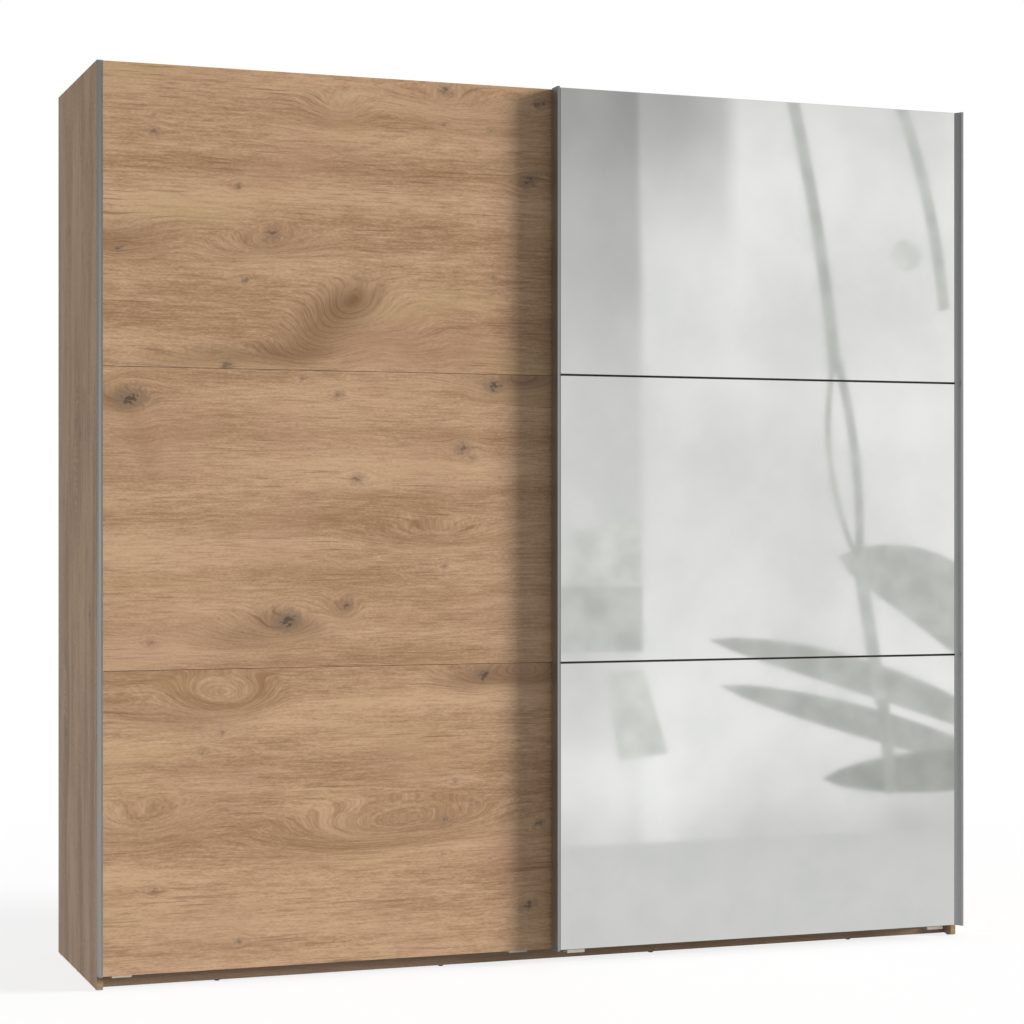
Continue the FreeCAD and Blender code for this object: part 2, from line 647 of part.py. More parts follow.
def cam_template():
    """Cam lock: a disc with a mouth for the bolt head and a cross slot on top."""
    body = new_body("cam_template", is_part=False)
    sketch = new_sketch(body, "XY_Plane")
    circle(sketch, 0, 0, s.cam_diameter)
    pad(body, sketch, s.cam_depth)
    mouth = new_sketch(body, "YZ_Plane", s.cam_diameter / 2)
    circle(mouth, 0, s.cam_depth - half_board, s.cam_bolt_head + s.cam_mouth_play)
    pocket(body, mouth, s.cam_diameter / 2 + s.cam_slot_depth)
    cross = new_sketch(body, "XY_Plane", s.cam_depth)
    arm = s.cam_diameter / 3
    half_slot = s.cam_slot / 2
    outline(cross, [
        (-arm, -half_slot), (-half_slot, -half_slot), (-half_slot, -arm), (half_slot, -arm),
        (half_slot, -half_slot), (arm, -half_slot), (arm, half_slot), (half_slot, half_slot),
        (half_slot, arm), (-half_slot, arm), (-half_slot, half_slot), (-arm, half_slot)])
    pocket(body, cross, s.cam_slot_depth)
    return body


# A cam's mouth looks along its own +X and its slot along its own +Z. These turns are for a cam
# whose slot looks down, up or to the left, named after the way to its joint.
SLOT_DOWN = {"left": ((0, 1, 0), 180), "right": ((1, 0, 0), 180)}
SLOT_UP = {"left": ((0, 0, 1), 180), "right": ((0, 0, 1), 0)}
SLOT_LEFT = {"below": ((1, 0, -1), 180), "above": ((0, 1, 0), -90)}


def joint_hardware(cam, bolt, dowel):
    """Cams, their bolts and the dowels of every carcass joint."""
    cams = []
    bolts = []
    dowels = []
    in_face = s.dowel_in_face
    for side, x, towards, turn in (("left", -inner_face, 1, TO_RIGHT), ("right", inner_face, -1, TO_LEFT)):
        cam_x = x + s.cam_inset * towards
        dowel_x = x - in_face * towards
        for row in bolt_rows:
            cams.append((cam, cam_x, row, base_lower + s.cam_depth, *SLOT_DOWN[side]))
            cams.append((cam, cam_x, row, top_panel_upper - s.cam_depth, *SLOT_UP[side]))
            bolts += [(bolt, x, row, level, *turn) for level in deck_levels]
        for row in dowel_rows:
            dowels += [(dowel, dowel_x, row, level, *turn) for level in deck_levels]
        for row in plinth_rows:
            dowels.append((dowel, dowel_x, row, plinth_middle_z, *turn))
    cam_back = s.cam_depth - half_board
    for side, z, towards, turn in (("below", s.base_top, 1, UP), ("above", top_panel_lower, -1, DOWN)):
        for row in partition_bolt_rows:
            bolts.append((bolt, 0, row, z, *turn))
            cams.append((cam, cam_back, row, z + s.cam_inset * towards, *SLOT_LEFT[side]))
        for row in partition_dowel_rows:
            dowels.append((dowel, 0, row, z - in_face * towards, *turn))
    dowels.append((dowel, 0, plinth_front_face + s.board - in_face, plinth_middle_z, *TO_BACK))
    dowels.append((dowel, 0, rear_plinth_front + in_face, plinth_middle_z, *TO_FRONT))
    group("cam_locks", cams)
    group("cam_bolts", bolts)
    group("dowels", dowels)


def floor_glides(glide):
    places = []
    for x in (-half_width + half_board, half_width - half_board):
        middle = (side_front + carcass_back) / 2
        for y in (side_front + s.glide_margin, middle, carcass_back - s.glide_margin):
            places.append((glide, x, y, 0, *UP))
    for y in plinth_rows:
        for fraction in (-3, -1, 1, 3):
            places.append((glide, inner_face * fraction / 4, y, 0, *UP))
    places.append((glide, 0, (plinth_front_face + rear_plinth_front) / 2, 0, *UP))
    group("floor_glides", places)


def back_nails(nail):
    """Nails round each back panel, heads flush with its rear face."""
    places = []
    first = base_level + s.nail_margin
    span = top_level - s.nail_margin - first
    for x in (half_board - half_width, -s.nail_offset, s.nail_offset, half_width - half_board):
        for index in range(NAIL_ROWS):
            places.append((nail, x, back_face, first + span * index / (NAIL_ROWS - 1), *TO_BACK))
    for side in (-1, 1):
        for index in range(NAIL_COLUMNS):
            x = inner_face * side * (index + 1) / (NAIL_COLUMNS + 1)
            places += [(nail, x, back_face, z, *TO_BACK) for z in deck_levels]
    group("back_nails", places)


def shelf_pins(shelf_pin):
    places = []
    for row in pin_rows:
        places.append((shelf_pin, -inner_face, row, shelf_pin_z, *TO_RIGHT))
        places.append((shelf_pin, -half_board, row, shelf_pin_z, *TO_LEFT))
        places.append((shelf_pin, half_board, row, shelf_pin_z, *TO_RIGHT))
        places.append((shelf_pin, inner_face, row, shelf_pin_z, *TO_LEFT))
    group("shelf_pins", places)


def oval(height, depth):
    """The outline of an upright oval centred on the sketch's origin."""
    radius = depth / 2
    rise = height / 2 - radius
    return [(radius, -rise), (radius, rise, radius), (-radius, rise), (-radius, -rise, radius)]


def clothes_rail(label, left):
    x = -inner_face + s.bracket_plate if left else half_board + s.bracket_plate
    length = inner_face - half_board - 2 * s.bracket_plate
    bore = oval(s.tube_height - 2 * s.tube_wall, s.tube_depth - 2 * s.tube_wall)
    extrusion(label, oval(s.tube_height, s.tube_depth), length, x, tube_y, tube_z, hollow=bore)


def bracket_template():
    """An oval plate with an upward-open cup; the panel's face is at its x = 0."""
    body = new_body("bracket_template", is_part=False)
    plate_width = s.tube_depth + 2 * (s.bracket_wall + s.bracket_rim)
    plate = new_sketch(body, "YZ_Plane")
    outline(plate, oval(s.bracket_height, plate_width))
    pad(body, plate, s.bracket_plate)
    inner = s.tube_depth / 2 + s.bracket_play
    outer = inner + s.bracket_wall
    rise = s.tube_height / 2 - s.tube_depth / 2
    cup = new_sketch(body, "YZ_Plane", s.bracket_plate)
    outline(cup, [
        (-outer, rise), (-outer, -rise, outer), (outer, -rise), (outer, rise), (inner, rise),
        (inner, -rise, -inner), (-inner, -rise), (-inner, rise)])
    pad(body, cup, s.bracket_cup)
    holes = [(0, s.bracket_screw_spacing / 2 * side, s.screw_hole) for side in (-1, 1)]
    drill(body, "YZ_Plane", s.bracket_plate, holes, s.bracket_plate)
    return body


tube_z = s.hat_shelf_height - s.tube_drop
tube_y = (side_front + carcass_back) / 2
screw = screw_template("screw_template", s.screw_length)
long_screw = screw_template("long_screw_template", s.long_screw_length)
joint_hardware(cam_template(), cam_bolt_template(), dowel_template())
floor_glides(glide_template())
back_nails(nail_template())
shelf_pins(shelf_pin_template())
clothes_rail("clothes_rail_left", True)
clothes_rail("clothes_rail_right", False)
bracket = bracket_template()
bracket_places = [(-inner_face, UP), (-half_board, ((0, 0, 1), 180)),
                  (half_board, UP), (inner_face, ((0, 0, 1), 180))]
group("clothes_rail_brackets", [(bracket, x, tube_y, tube_z, *turn) for x, turn in bracket_places])


# --------------------------------------------------- running and guide rails

rail_left = s.rail_play - inner_face
rail_length = 2 * (inner_face - s.rail_play)
inner_track_y = deck_front + s.inner_track
outer_track_y = deck_front + s.outer_track
rail_top = top_panel_upper + s.rail_base
axle_z = top_panel_upper + s.rib_height + s.wheel_clearance + s.wheel_tread / 2
inner_slot_y = deck_front + s.guide_slot_inset
outer_slot_y = deck_front + s.guide_rail_depth - s.guide_slot_inset
guide_rail_lower = base_lower - s.guide_rail_height


def rib(middle):
    """The outline of one rounded rib, from its rear foot to its front foot."""
    half = s.rib_width / 2
    shoulder = s.rib_height - half
    return [(middle + half, s.rail_base), (middle + half, shoulder, half),
            (middle - half, shoulder), (middle - half, s.rail_base)]


def screw_columns_x(margin):
    """Evenly spaced screws along a rail, starting at the margin from each end."""
    span = rail_length - 2 * margin
    return [rail_left + margin + span * index / (SCREW_COLUMNS - 1) for index in range(SCREW_COLUMNS)]


def running_rail():
    """Double track on the top panel, one rounded rib for each door."""
    flange_front = s.rail_depth - s.rail_base
    section = [(0, 0), (s.rail_depth, 0), (s.rail_depth, s.rail_flange),
               (flange_front, s.rail_flange), (flange_front, s.rail_base)]
    section += rib(s.outer_track) + rib(s.inner_track) + [(0, s.rail_base)]
    body = extrusion("top_running_rail", section, rail_length, rail_left, deck_front, top_panel_upper)
    between = (s.inner_track + s.outer_track) / 2
    columns = screw_columns_x(s.running_rail_screw_margin)
    holes = [(x - rail_left, between, s.screw_hole) for x in columns]
    drill(body, "XY_Plane", s.rail_base, holes, s.rail_base)


def guide_rail():
    """Channel under the base panel with two slots that open downwards."""
    half = s.guide_slot / 2
    near = s.guide_slot_inset
    far = s.guide_rail_depth - s.guide_slot_inset
    section = [(0, 0), (near - half, 0), (near - half, s.guide_slot_depth),
               (near + half, s.guide_slot_depth), (near + half, 0), (far - half, 0),
               (far - half, s.guide_slot_depth), (far + half, s.guide_slot_depth),
               (far + half, 0), (s.guide_rail_depth, 0),
               (s.guide_rail_depth, s.guide_rail_height), (0, s.guide_rail_height)]
    body = extrusion("bottom_guide_rail", section, rail_length, rail_left, deck_front, guide_rail_lower)
    columns = screw_columns_x(s.guide_rail_screw_margin)
    holes = [(x - rail_left, s.guide_rail_depth / 2, s.screw_hole) for x in columns]
    drill(body, "XY_Plane", 0, holes, s.guide_rail_height, along_normal=True)


def cabinet_screws():
    """Screws of both rails and of the clothes rail brackets."""
    places = []
    for x in screw_columns_x(s.running_rail_screw_margin):
        places.append((screw, x, (inner_track_y + outer_track_y) / 2, rail_top, *UP))
    for x in screw_columns_x(s.guide_rail_screw_margin):
        places.append((long_screw, x, deck_front + s.guide_rail_depth / 2, guide_rail_lower, *DOWN))
    for x, turn in ((-inner_face + s.bracket_plate, TO_RIGHT), (-half_board - s.bracket_plate, TO_LEFT),
                    (half_board + s.bracket_plate, TO_RIGHT), (inner_face - s.bracket_plate, TO_LEFT)):
        for side in (-1, 1):
            places.append((screw, x, tube_y, tube_z + s.bracket_screw_spacing / 2 * side, *turn))
    group("cabinet_screws", places)


def rail_end_stops():
    """Rubber blocks that straddle a rib where a door's carriages stop."""
    half = s.rib_width / 2
    rib_top = s.rib_height - s.rail_base
    front = s.stop_front
    rear = s.leg_offset + s.carriage_plate + s.stop_rear_margin
    section = [(-front, 0), (-half, 0), (-half, rib_top), (half, rib_top),
               (half, 0), (rear, 0), (rear, s.stop_top), (-front, s.stop_top)]
    stop = extrusion("stop_template", section, s.stop_length, 0, 0, 0, is_part=False)
    half_carriage = s.carriage_width / 2
    before = s.stop_play + s.stop_length
    oak_first = oak_left + s.oak_carriage_inset - half_carriage
    oak_last = oak_right - s.oak_carriage_inset + half_carriage + s.door_travel
    mirror_first = mirror_left + s.mirror_carriage_inset - half_carriage - s.door_travel
    mirror_last = mirror_right - s.mirror_carriage_inset + half_carriage
    group("rail_end_stops", [
        (stop, oak_first - before, inner_track_y, rail_top, *UP),
        (stop, oak_last + s.stop_play, inner_track_y, rail_top, *UP),
        (stop, mirror_first - before, outer_track_y, rail_top, *UP),
        (stop, mirror_last + s.stop_play, outer_track_y, rail_top, *UP)])


running_rail()
guide_rail()
cabinet_screws()
rail_end_stops()


# ------------------------------------------------------------- door parts

def door_boards(prefix, left, right, back, height):
    """Three boards, grooved where they meet, and the strips that join them."""
    board_height = (height - 2 * s.board_joint) / 3
    half_groove = s.tongue_thickness / 2 + s.tongue_play
    groove_depth = s.tongue_height / 2 - s.board_joint / 2 + s.tongue_play
    near, far = half_board - half_groove, half_board + half_groove
    for index, name in enumerate(LEVEL_NAMES):
        section = [(0, 0)]
        if index > 0:
            section += [(near, 0), (near, groove_depth), (far, groove_depth), (far, 0)]
        section += [(s.board, 0), (s.board, board_height)]
        if index < 2:
            floor = board_height - groove_depth
            section += [(far, board_height), (far, floor), (near, floor), (near, board_height)]
        section += [(0, board_height)]
        z = s.door_bottom + (board_height + s.board_joint) * index
        extrusion(f"{prefix}_board_{name}", section, right - left, left, back - s.board, z)
    tongue = extrusion(f"{prefix}_tongue_template", [
        (0, 0), (s.tongue_thickness, 0), (s.tongue_thickness, s.tongue_height), (0, s.tongue_height)],
        right - left - 2 * s.tongue_setback, 0, 0, 0, is_part=False)
    y = back - half_board - s.tongue_thickness / 2
    joints = [s.door_bottom + (board_height + s.board_joint) * index - s.board_joint / 2 for index in (1, 2)]
    left_end = left + s.tongue_setback
    strips = [(tongue, left_end, y, z - s.tongue_height / 2, *UP) for z in joints]
    group(f"{prefix}_joining_strips", strips)


def grip_outline(cover, side, width, rise):
    """Grip profile round a door edge as thick as cover, with its lip rise in front of the face.

    x runs from the door's edge over its face, y from the door's back to its
    front (negative). side is 1 for a left edge and -1 for a right one.
    """
    face = -cover
    lip = face - rise
    radius = s.grip_hollow_radius * side
    return [(0, s.grip_wall), (0, lip), (s.grip_lip * side, lip, -radius),
            (width * side, face - s.grip_edge), (width * side, face),
            (s.grip_wall * side, face), (s.grip_wall * side, 0), (s.back_flange * side, 0),
            (s.back_flange * side, s.grip_wall)]


def grip_chamber(cover, side, width, rise):
    """The hollow of a tall grip's extrusion, one wall inside its outline."""
    face = -cover - s.grip_wall
    lip = -cover - rise + s.grip_wall
    radius = (s.grip_hollow_radius + s.grip_wall) * side
    return [(s.grip_wall * side, face), (s.grip_wall * side, lip),
            ((s.grip_lip - s.grip_wall) * side, lip, -radius),
            ((width - s.grip_chamber_foot) * side, face)]


def grip(label, section, chamber, x, y, height):
    """A grip profile as tall as the door less its caps; returns the places of its two caps."""
    extrusion(label, section, height - 2 * s.cap_thickness, x, y, s.door_bottom + s.cap_thickness,
              role="XY_Plane", hollow=chamber)
    cap = extrusion(f"{label}_cap_template", section, s.cap_thickness, 0, 0, 0,
                    role="XY_Plane", is_part=False)
    upper = s.door_bottom + height - s.cap_thickness
    return [(cap, x, y, s.door_bottom, *UP), (cap, x, y, upper, *UP)]


def edge_profile(label, x, y, height):
    """Flat U profile on the oak door's hidden edge, low enough to pass the mirror door."""
    wall = s.edge_wall
    section = [(0, wall), (-s.back_flange, wall), (-s.back_flange, 0), (-wall, 0), (-wall, -s.board),
               (-s.back_flange, -s.board), (-s.back_flange, -s.board - wall), (0, -s.board - wall)]
    extrusion(label, section, height, x, y, s.door_bottom, role="XY_Plane")


def carriage(label, x, door_back, track_y, top):
    """Bent sheet bracket: a plate on the door, a bridge to the track and a leg down."""
    plate = s.carriage_plate
    leg_front = track_y + s.leg_offset - door_back
    leg_back = leg_front + plate
    bend = s.carriage_bend
    inner_bend = s.carriage_inner_bend
    section = [(0, s.carriage_foot), (plate, s.carriage_foot), (plate, top - plate - inner_bend, -inner_bend),
               (plate + inner_bend, top - plate), (leg_front - inner_bend, top - plate, -inner_bend),
               (leg_front, top - plate - inner_bend), (leg_front, s.carriage_leg_foot),
               (leg_back, s.carriage_leg_foot), (leg_back, top - bend, bend), (leg_back - bend, top),
               (bend, top, bend), (0, top - bend)]
    body = extrusion(label, section, s.carriage_width, x - s.carriage_width / 2, door_back, 0)
    screw_holes = [(column, z, s.screw_hole) for column in carriage_screw_x for z in carriage_screw_z]
    drill(body, "XZ_Plane", -plate, screw_holes, plate, along_normal=True)
    middle = s.carriage_width / 2
    axle_holes = [(middle + s.wheel_spacing / 2 * side, axle_z, s.axle_diameter) for side in (-1, 1)]
    drill(body, "XZ_Plane", -leg_back, axle_holes, plate, along_normal=True)


def wheel(label, x, track_y):
    """Grooved nylon wheel on its axle; its axis runs along Y."""
    half = s.wheel_width / 2
    bore = s.axle_diameter / 2 + s.bore_play
    rim = s.wheel_diameter / 2
    mouth = s.wheel_groove_mouth / 2
    groove = s.wheel_groove / 2
    tread = s.wheel_tread / 2
    chamfer = s.wheel_chamfer
    body = turned(label, [
        (bore, -half), (rim - chamfer, -half), (rim, chamfer - half), (rim, -mouth), (tread, -groove),
        (tread, groove), (rim, mouth), (rim, half - chamfer), (rim - chamfer, half), (bore, half)])
    hole = new_sketch(body, "XY_Plane", half)
    circle(hole, s.wheel_hole_circle / 2, 0, s.wheel_hole)
    cut = pocket(body, hole, s.wheel_width)
    pattern = body.newObject("PartDesign::PolarPattern", f"{label}_pattern")
    pattern.Originals = [cut]
    pattern.Axis = (hole, ["N_Axis"])
    pattern.Angle = 360
    pattern.Occurrences = WHEEL_HOLES
    body.Tip = pattern
    place(body, x, track_y, axle_z, (1, 0, 0), 90)


def axle_template():
    """Riveted axle; z = 0 is the wheel's middle and the leg is on its +z side."""
    radius = s.axle_diameter / 2
    head = s.axle_head / 2
    front = s.wheel_width / 2 + s.axle_head_gap
    leg = s.leg_offset + s.carriage_plate
    return turned("axle_template", [
        (0, -front - s.axle_head_thickness), (head, -front - s.axle_head_thickness), (head, -front),
        (radius, -front), (radius, leg), (head, leg), (head, leg + s.axle_head_thickness),
        (0, leg + s.axle_head_thickness)], is_part=False)


def guide_template(label, section):
    """A door guide with two counterbored screw holes in its foot."""
    body = extrusion(label, section, s.guide_width, 0, 0, 0, is_part=False)
    foot = section[0][1]
    columns = [s.guide_width / 2 + s.guide_screw_offset * side for side in (-1, 1)]
    heads = [(x, half_board, s.screw_head + s.counterbore_play) for x in columns]
    holes = [(x, half_board, s.screw_hole) for x in columns]
    drill(body, "XY_Plane", foot, heads, s.screw_head_height + s.counterbore_margin, along_normal=True)
    drill(body, "XY_Plane", foot, holes, s.door_bottom - foot, along_normal=True)
    return body


def door_hardware(prefix, left, right, inset, door_back, track_y, top, guide, guide_columns, guide_foot):
    """Carriages, wheels, axles, guides and screws of one door."""
    axles = []
    screws = []
    number = 0
    for name, x in (("left", left + inset), ("right", right - inset)):
        carriage(f"{prefix}_carriage_{name}", x, door_back, track_y, top)
        for side in (-1, 1):
            number += 1
            wheel_x = x + s.wheel_spacing / 2 * side
            wheel(f"{prefix}_wheel_{number}", wheel_x, track_y)
            axles.append((axle, wheel_x, track_y, axle_z, *TO_BACK))
        for column in carriage_screw_x:
            for z in carriage_screw_z:
                screw_x = x - s.carriage_width / 2 + column
                screws.append((screw, screw_x, door_back + s.carriage_plate, z, *TO_BACK))
    guides = []
    head_z = guide_foot + s.screw_head_height + s.counterbore_margin
    for x in guide_columns:
        guides.append((guide, x - s.guide_width / 2, door_back - s.board, 0, *UP))
        for side in (-1, 1):
            screws.append((screw, x + s.guide_screw_offset * side, door_back - half_board, head_z, *DOWN))
    group(f"{prefix}_axles", axles)
    group(f"{prefix}_guides", guides)
    group(f"{prefix}_screws", screws)


carriage_screw_x = [s.carriage_screw_inset, s.carriage_width - s.carriage_screw_inset]
first_screw_z = s.carriage_foot + s.carriage_screw_inset
carriage_screw_z = [first_screw_z, first_screw_z + s.carriage_screw_pitch]
axle = axle_template()


# --------------------------------------------------------------- oak door

door_boards("oak_door", oak_left + s.grip_wall, oak_right - s.edge_wall, oak_back, s.oak_door_height)
oak_grip_section = grip_outline(s.board, 1, s.oak_grip_width, s.oak_grip_height)
oak_caps = grip("oak_door_grip", oak_grip_section, None, oak_left, oak_back, s.oak_door_height)
group("oak_door_end_caps", oak_caps)
edge_profile("oak_door_edge_profile", oak_right, oak_back, s.oak_door_height)

inner_fin = inner_slot_y - s.guide_fin / 2 - oak_front
oak_guide = guide_template("oak_guide_template", [
    (0, s.oak_guide_foot), (inner_fin + s.guide_fin, s.oak_guide_foot),
    (inner_fin + s.guide_fin, s.guide_fin_top), (inner_fin, s.guide_fin_top),
    (inner_fin, s.door_bottom), (0, s.door_bottom)])
door_hardware("oak_door", oak_left, oak_right, s.oak_carriage_inset, oak_back, inner_track_y,
              s.oak_carriage_top, oak_guide,
              [oak_left + s.oak_guide_left_inset, oak_right - s.oak_guide_right_inset], s.oak_guide_foot)


# ------------------------------------------------------------ mirror door

mirror_cover = s.board + s.mirror_glass
mirror_inner_left = mirror_left + s.grip_wall
mirror_inner_right = mirror_right - s.grip_wall
door_boards("mirror_door", mirror_inner_left, mirror_inner_right, mirror_board_back, s.mirror_door_height)

glass_height = (s.mirror_door_height - 2 * s.mirror_joint) / 3
for index, name in enumerate(LEVEL_NAMES):
    panel(f"mirror_{name}", mirror_inner_left, mirror_face,
          s.door_bottom + (glass_height + s.mirror_joint) * index,
          mirror_inner_right - mirror_inner_left, s.mirror_glass, glass_height)

mirror_caps = []
for name, side, edge in (("left", 1, mirror_left), ("right", -1, mirror_right)):
    profile = (mirror_cover, side, s.mirror_grip_width, s.mirror_grip_height)
    mirror_caps += grip(f"mirror_door_grip_{name}", grip_outline(*profile), grip_chamber(*profile),
                        edge, mirror_board_back, s.mirror_door_height)
group("mirror_door_end_caps", mirror_caps)

outer_fin = outer_slot_y - s.guide_fin / 2 - mirror_board_front
mirror_guide = guide_template("mirror_guide_template", [
    (0, s.mirror_guide_foot), (outer_fin + s.guide_fin, s.mirror_guide_foot),
    (outer_fin + s.guide_fin, s.guide_fin_top), (outer_fin, s.guide_fin_top),
    (outer_fin, s.mirror_guide_foot + s.mirror_guide_tongue),
    (s.board, s.mirror_guide_foot + s.mirror_guide_tongue), (s.board, s.door_bottom),
    (0, s.door_bottom)])
door_hardware("mirror_door", mirror_left, mirror_right, s.mirror_carriage_inset, mirror_board_back,
              outer_track_y, s.mirror_carriage_top, mirror_guide,
              [mirror_left + s.mirror_guide_left_inset, mirror_right - s.mirror_guide_right_inset],
              s.mirror_guide_foot)


# ---------------------------------------------------------- check and export

doc.recompute()
for thing in doc.Objects:
    if {"Invalid", "Error"} & set(thing.State):
        raise RuntimeError(f"{thing.Label} is {thing.State}")
for part in parts:
    if part.Shape.isNull() or not part.Shape.isValid():
        raise RuntimeError(f"{part.Label} has no valid shape")

os.makedirs("parts", exist_ok=True)
for part in parts:
    part.Shape.exportStep(os.path.join("parts", f"{part.Label}.step"))
print(len(parts), "parts written")
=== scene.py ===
"""Looks of the sliding door wardrobe: finishes, fine edges, mirrors, studio light and camera. Metres."""

import json
import math

import bmesh
import bpy
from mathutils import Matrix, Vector


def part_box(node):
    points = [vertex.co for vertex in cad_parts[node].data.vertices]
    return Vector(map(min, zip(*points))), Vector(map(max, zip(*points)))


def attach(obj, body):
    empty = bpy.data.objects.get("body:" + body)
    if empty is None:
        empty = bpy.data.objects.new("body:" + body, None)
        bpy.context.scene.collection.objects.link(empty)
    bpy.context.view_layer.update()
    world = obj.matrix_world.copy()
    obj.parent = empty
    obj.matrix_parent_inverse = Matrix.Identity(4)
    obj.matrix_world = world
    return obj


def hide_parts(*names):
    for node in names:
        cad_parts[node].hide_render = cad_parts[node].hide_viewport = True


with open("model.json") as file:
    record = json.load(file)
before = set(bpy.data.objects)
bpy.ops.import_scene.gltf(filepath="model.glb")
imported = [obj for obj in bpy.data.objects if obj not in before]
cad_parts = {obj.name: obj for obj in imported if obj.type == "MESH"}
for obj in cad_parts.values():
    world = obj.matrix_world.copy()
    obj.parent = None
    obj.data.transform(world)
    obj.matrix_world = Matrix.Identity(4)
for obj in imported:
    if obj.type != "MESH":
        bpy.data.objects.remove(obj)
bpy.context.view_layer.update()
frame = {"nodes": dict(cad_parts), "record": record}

NODES = frame["nodes"]
SLOT_OF = {part["node"]: part["material_slot"] for part in frame["record"]["subparts"]}
BODY_OF = {
    node: body
    for body, members in frame["record"]["behaviour"]["bodies"].items()
    for node in members
}


def add_object(name, data):
    """A new object with this data, linked to the scene."""
    created = bpy.data.objects.new(name, data)
    bpy.context.scene.collection.objects.link(created)
    return created


# ---------------------------------------------------------------- colour and node helpers


def srgb(red, green, blue):
    """A colour given as 0 to 255 screen values, as the linear RGBA that a shader takes."""

    def linear(value):
        share = value / 255
        return share / 12.92 if share <= 0.04045 else ((share + 0.055) / 1.055) ** 2.4

    return (linear(red), linear(green), linear(blue), 1.0)


def plug(tree, socket, value):
    """Links a Field or a socket to a socket, or sets the socket to a plain number, vector or colour."""
    if isinstance(value, Field):
        tree.links.new(value.socket, socket)
    elif isinstance(value, bpy.types.NodeSocket):
        tree.links.new(value, socket)
    else:
        socket.default_value = value


class Field:
    """A number worked out at every point of a surface: arithmetic on it adds the Math nodes."""

    def __init__(self, tree, socket):
        self.tree = tree
        self.socket = socket

    def math(self, operation, *others):
        node = self.tree.nodes.new("ShaderNodeMath")
        node.operation = operation
        for socket, value in zip(node.inputs, (self, *others)):
            plug(self.tree, socket, value)
        return Field(self.tree, node.outputs[0])

    def __add__(self, other):
        return self.math("ADD", other)

    def __sub__(self, other):
        return self.math("SUBTRACT", other)

    def __mul__(self, other):
        return self.math("MULTIPLY", other)

    __radd__ = __add__
    __rmul__ = __mul__

    def power(self, exponent):
        return self.math("POWER", exponent)

    def larger(self, other):
        return self.math("MAXIMUM", other)

    def smaller(self, other):
        return self.math("MINIMUM", other)

    def fold(self):
        """The sawtooth of this field: its part after the decimal point."""
        return self.math("FRACT")

    def ease(self, start, end, low=0.0, high=1.0):
        """A smooth step from low at start to high at end."""
        node = self.tree.nodes.new("ShaderNodeMapRange")
        node.interpolation_type = "SMOOTHSTEP"
        for name, value in (("From Min", start), ("From Max", end), ("To Min", low), ("To Max", high)):
            node.inputs[name].default_value = value
        plug(self.tree, node.inputs["Value"], self)
        return Field(self.tree, node.outputs["Result"])


class Surface:
    """A material being made: its node tree, the place on the piece, and its Principled shader."""

    def __init__(self, name):
        self.material = bpy.data.materials.new(name)
        self.material.use_nodes = True
        self.tree = self.material.node_tree
        self.shader = self.tree.nodes["Principled BSDF"]
        coordinates = self.tree.nodes.new("ShaderNodeTexCoord")
        self.place = coordinates.outputs["Object"]
        split = self.tree.nodes.new("ShaderNodeSeparateXYZ")
        self.tree.links.new(self.place, split.inputs[0])
        self.x, self.y, self.z = (Field(self.tree, output) for output in split.outputs)

    def vector(self, x=0.0, y=0.0, z=0.0):
        node = self.tree.nodes.new("ShaderNodeCombineXYZ")
        for socket, value in zip(node.inputs, (x, y, z)):
            plug(self.tree, socket, value)
        return node.outputs[0]

    def noise(self, vector, scale=1.0, detail=2.0, roughness=0.5, distortion=0.0):
        """Fractal noise from 0 to 1, about 0.5 on average."""
        node = self.tree.nodes.new("ShaderNodeTexNoise")
        plug(self.tree, node.inputs["Vector"], vector)
        settings = {"Scale": scale, "Detail": detail, "Roughness": roughness, "Distortion": distortion}
        for name, value in settings.items():
            node.inputs[name].default_value = value
        return Field(self.tree, node.outputs["Fac"])

    def cells(self, vector, scale):
        """Distance to the nearest of a scatter of points, in units of 1 / scale."""
        node = self.tree.nodes.new("ShaderNodeTexVoronoi")
        node.feature = "F1"
        plug(self.tree, node.inputs["Vector"], vector)
        node.inputs["Scale"].default_value = scale
        return Field(self.tree, node.outputs["Distance"])

    def spread(self, vector, centre, size, tilt=0.0):
        """Distance from centre in units of size, in a frame turned by tilt radians about Z."""
        mapping = self.tree.nodes.new("ShaderNodeMapping")
        mapping.vector_type = "TEXTURE"
        plug(self.tree, mapping.inputs["Vector"], vector)
        mapping.inputs["Location"].default_value = (*centre, 0)
        mapping.inputs["Rotation"].default_value = (0, 0, tilt)
        mapping.inputs["Scale"].default_value = (*size, 1)
        length = self.tree.nodes.new("ShaderNodeVectorMath")
        length.operation = "LENGTH"
        self.tree.links.new(mapping.outputs[0], length.inputs[0])
        return Field(self.tree, length.outputs["Value"])

    def mix(self, share, first, second, blend="MIX"):
        """A colour that goes from first to second as share goes from 0 to 1."""
        node = self.tree.nodes.new("ShaderNodeMix")
        node.data_type = "RGBA"
        node.blend_type = blend
        plug(self.tree, node.inputs["Factor"], share)
        inputs = [socket for socket in node.inputs if socket.type == "RGBA"]
        plug(self.tree, inputs[0], first)
        plug(self.tree, inputs[1], second)
        return [socket for socket in node.outputs if socket.type == "RGBA"][0]

    def bump(self, height, distance):
        """Relief on the shader's normal: height is in units of distance metres."""
        node = self.tree.nodes.new("ShaderNodeBump")
        node.inputs["Distance"].default_value = distance
        plug(self.tree, node.inputs["Height"], height)
        plug(self.tree, self.shader.inputs["Normal"], node.outputs[0])

    def set(self, **values):
        """Sets or links sockets of the shader, their names written with _ for a space."""
        names = {socket.name.lower().replace(" ", "_"): socket for socket in self.shader.inputs}
        for name, value in values.items():
            plug(self.tree, names[name], value)


# ---------------------------------------------------------------- oak decor

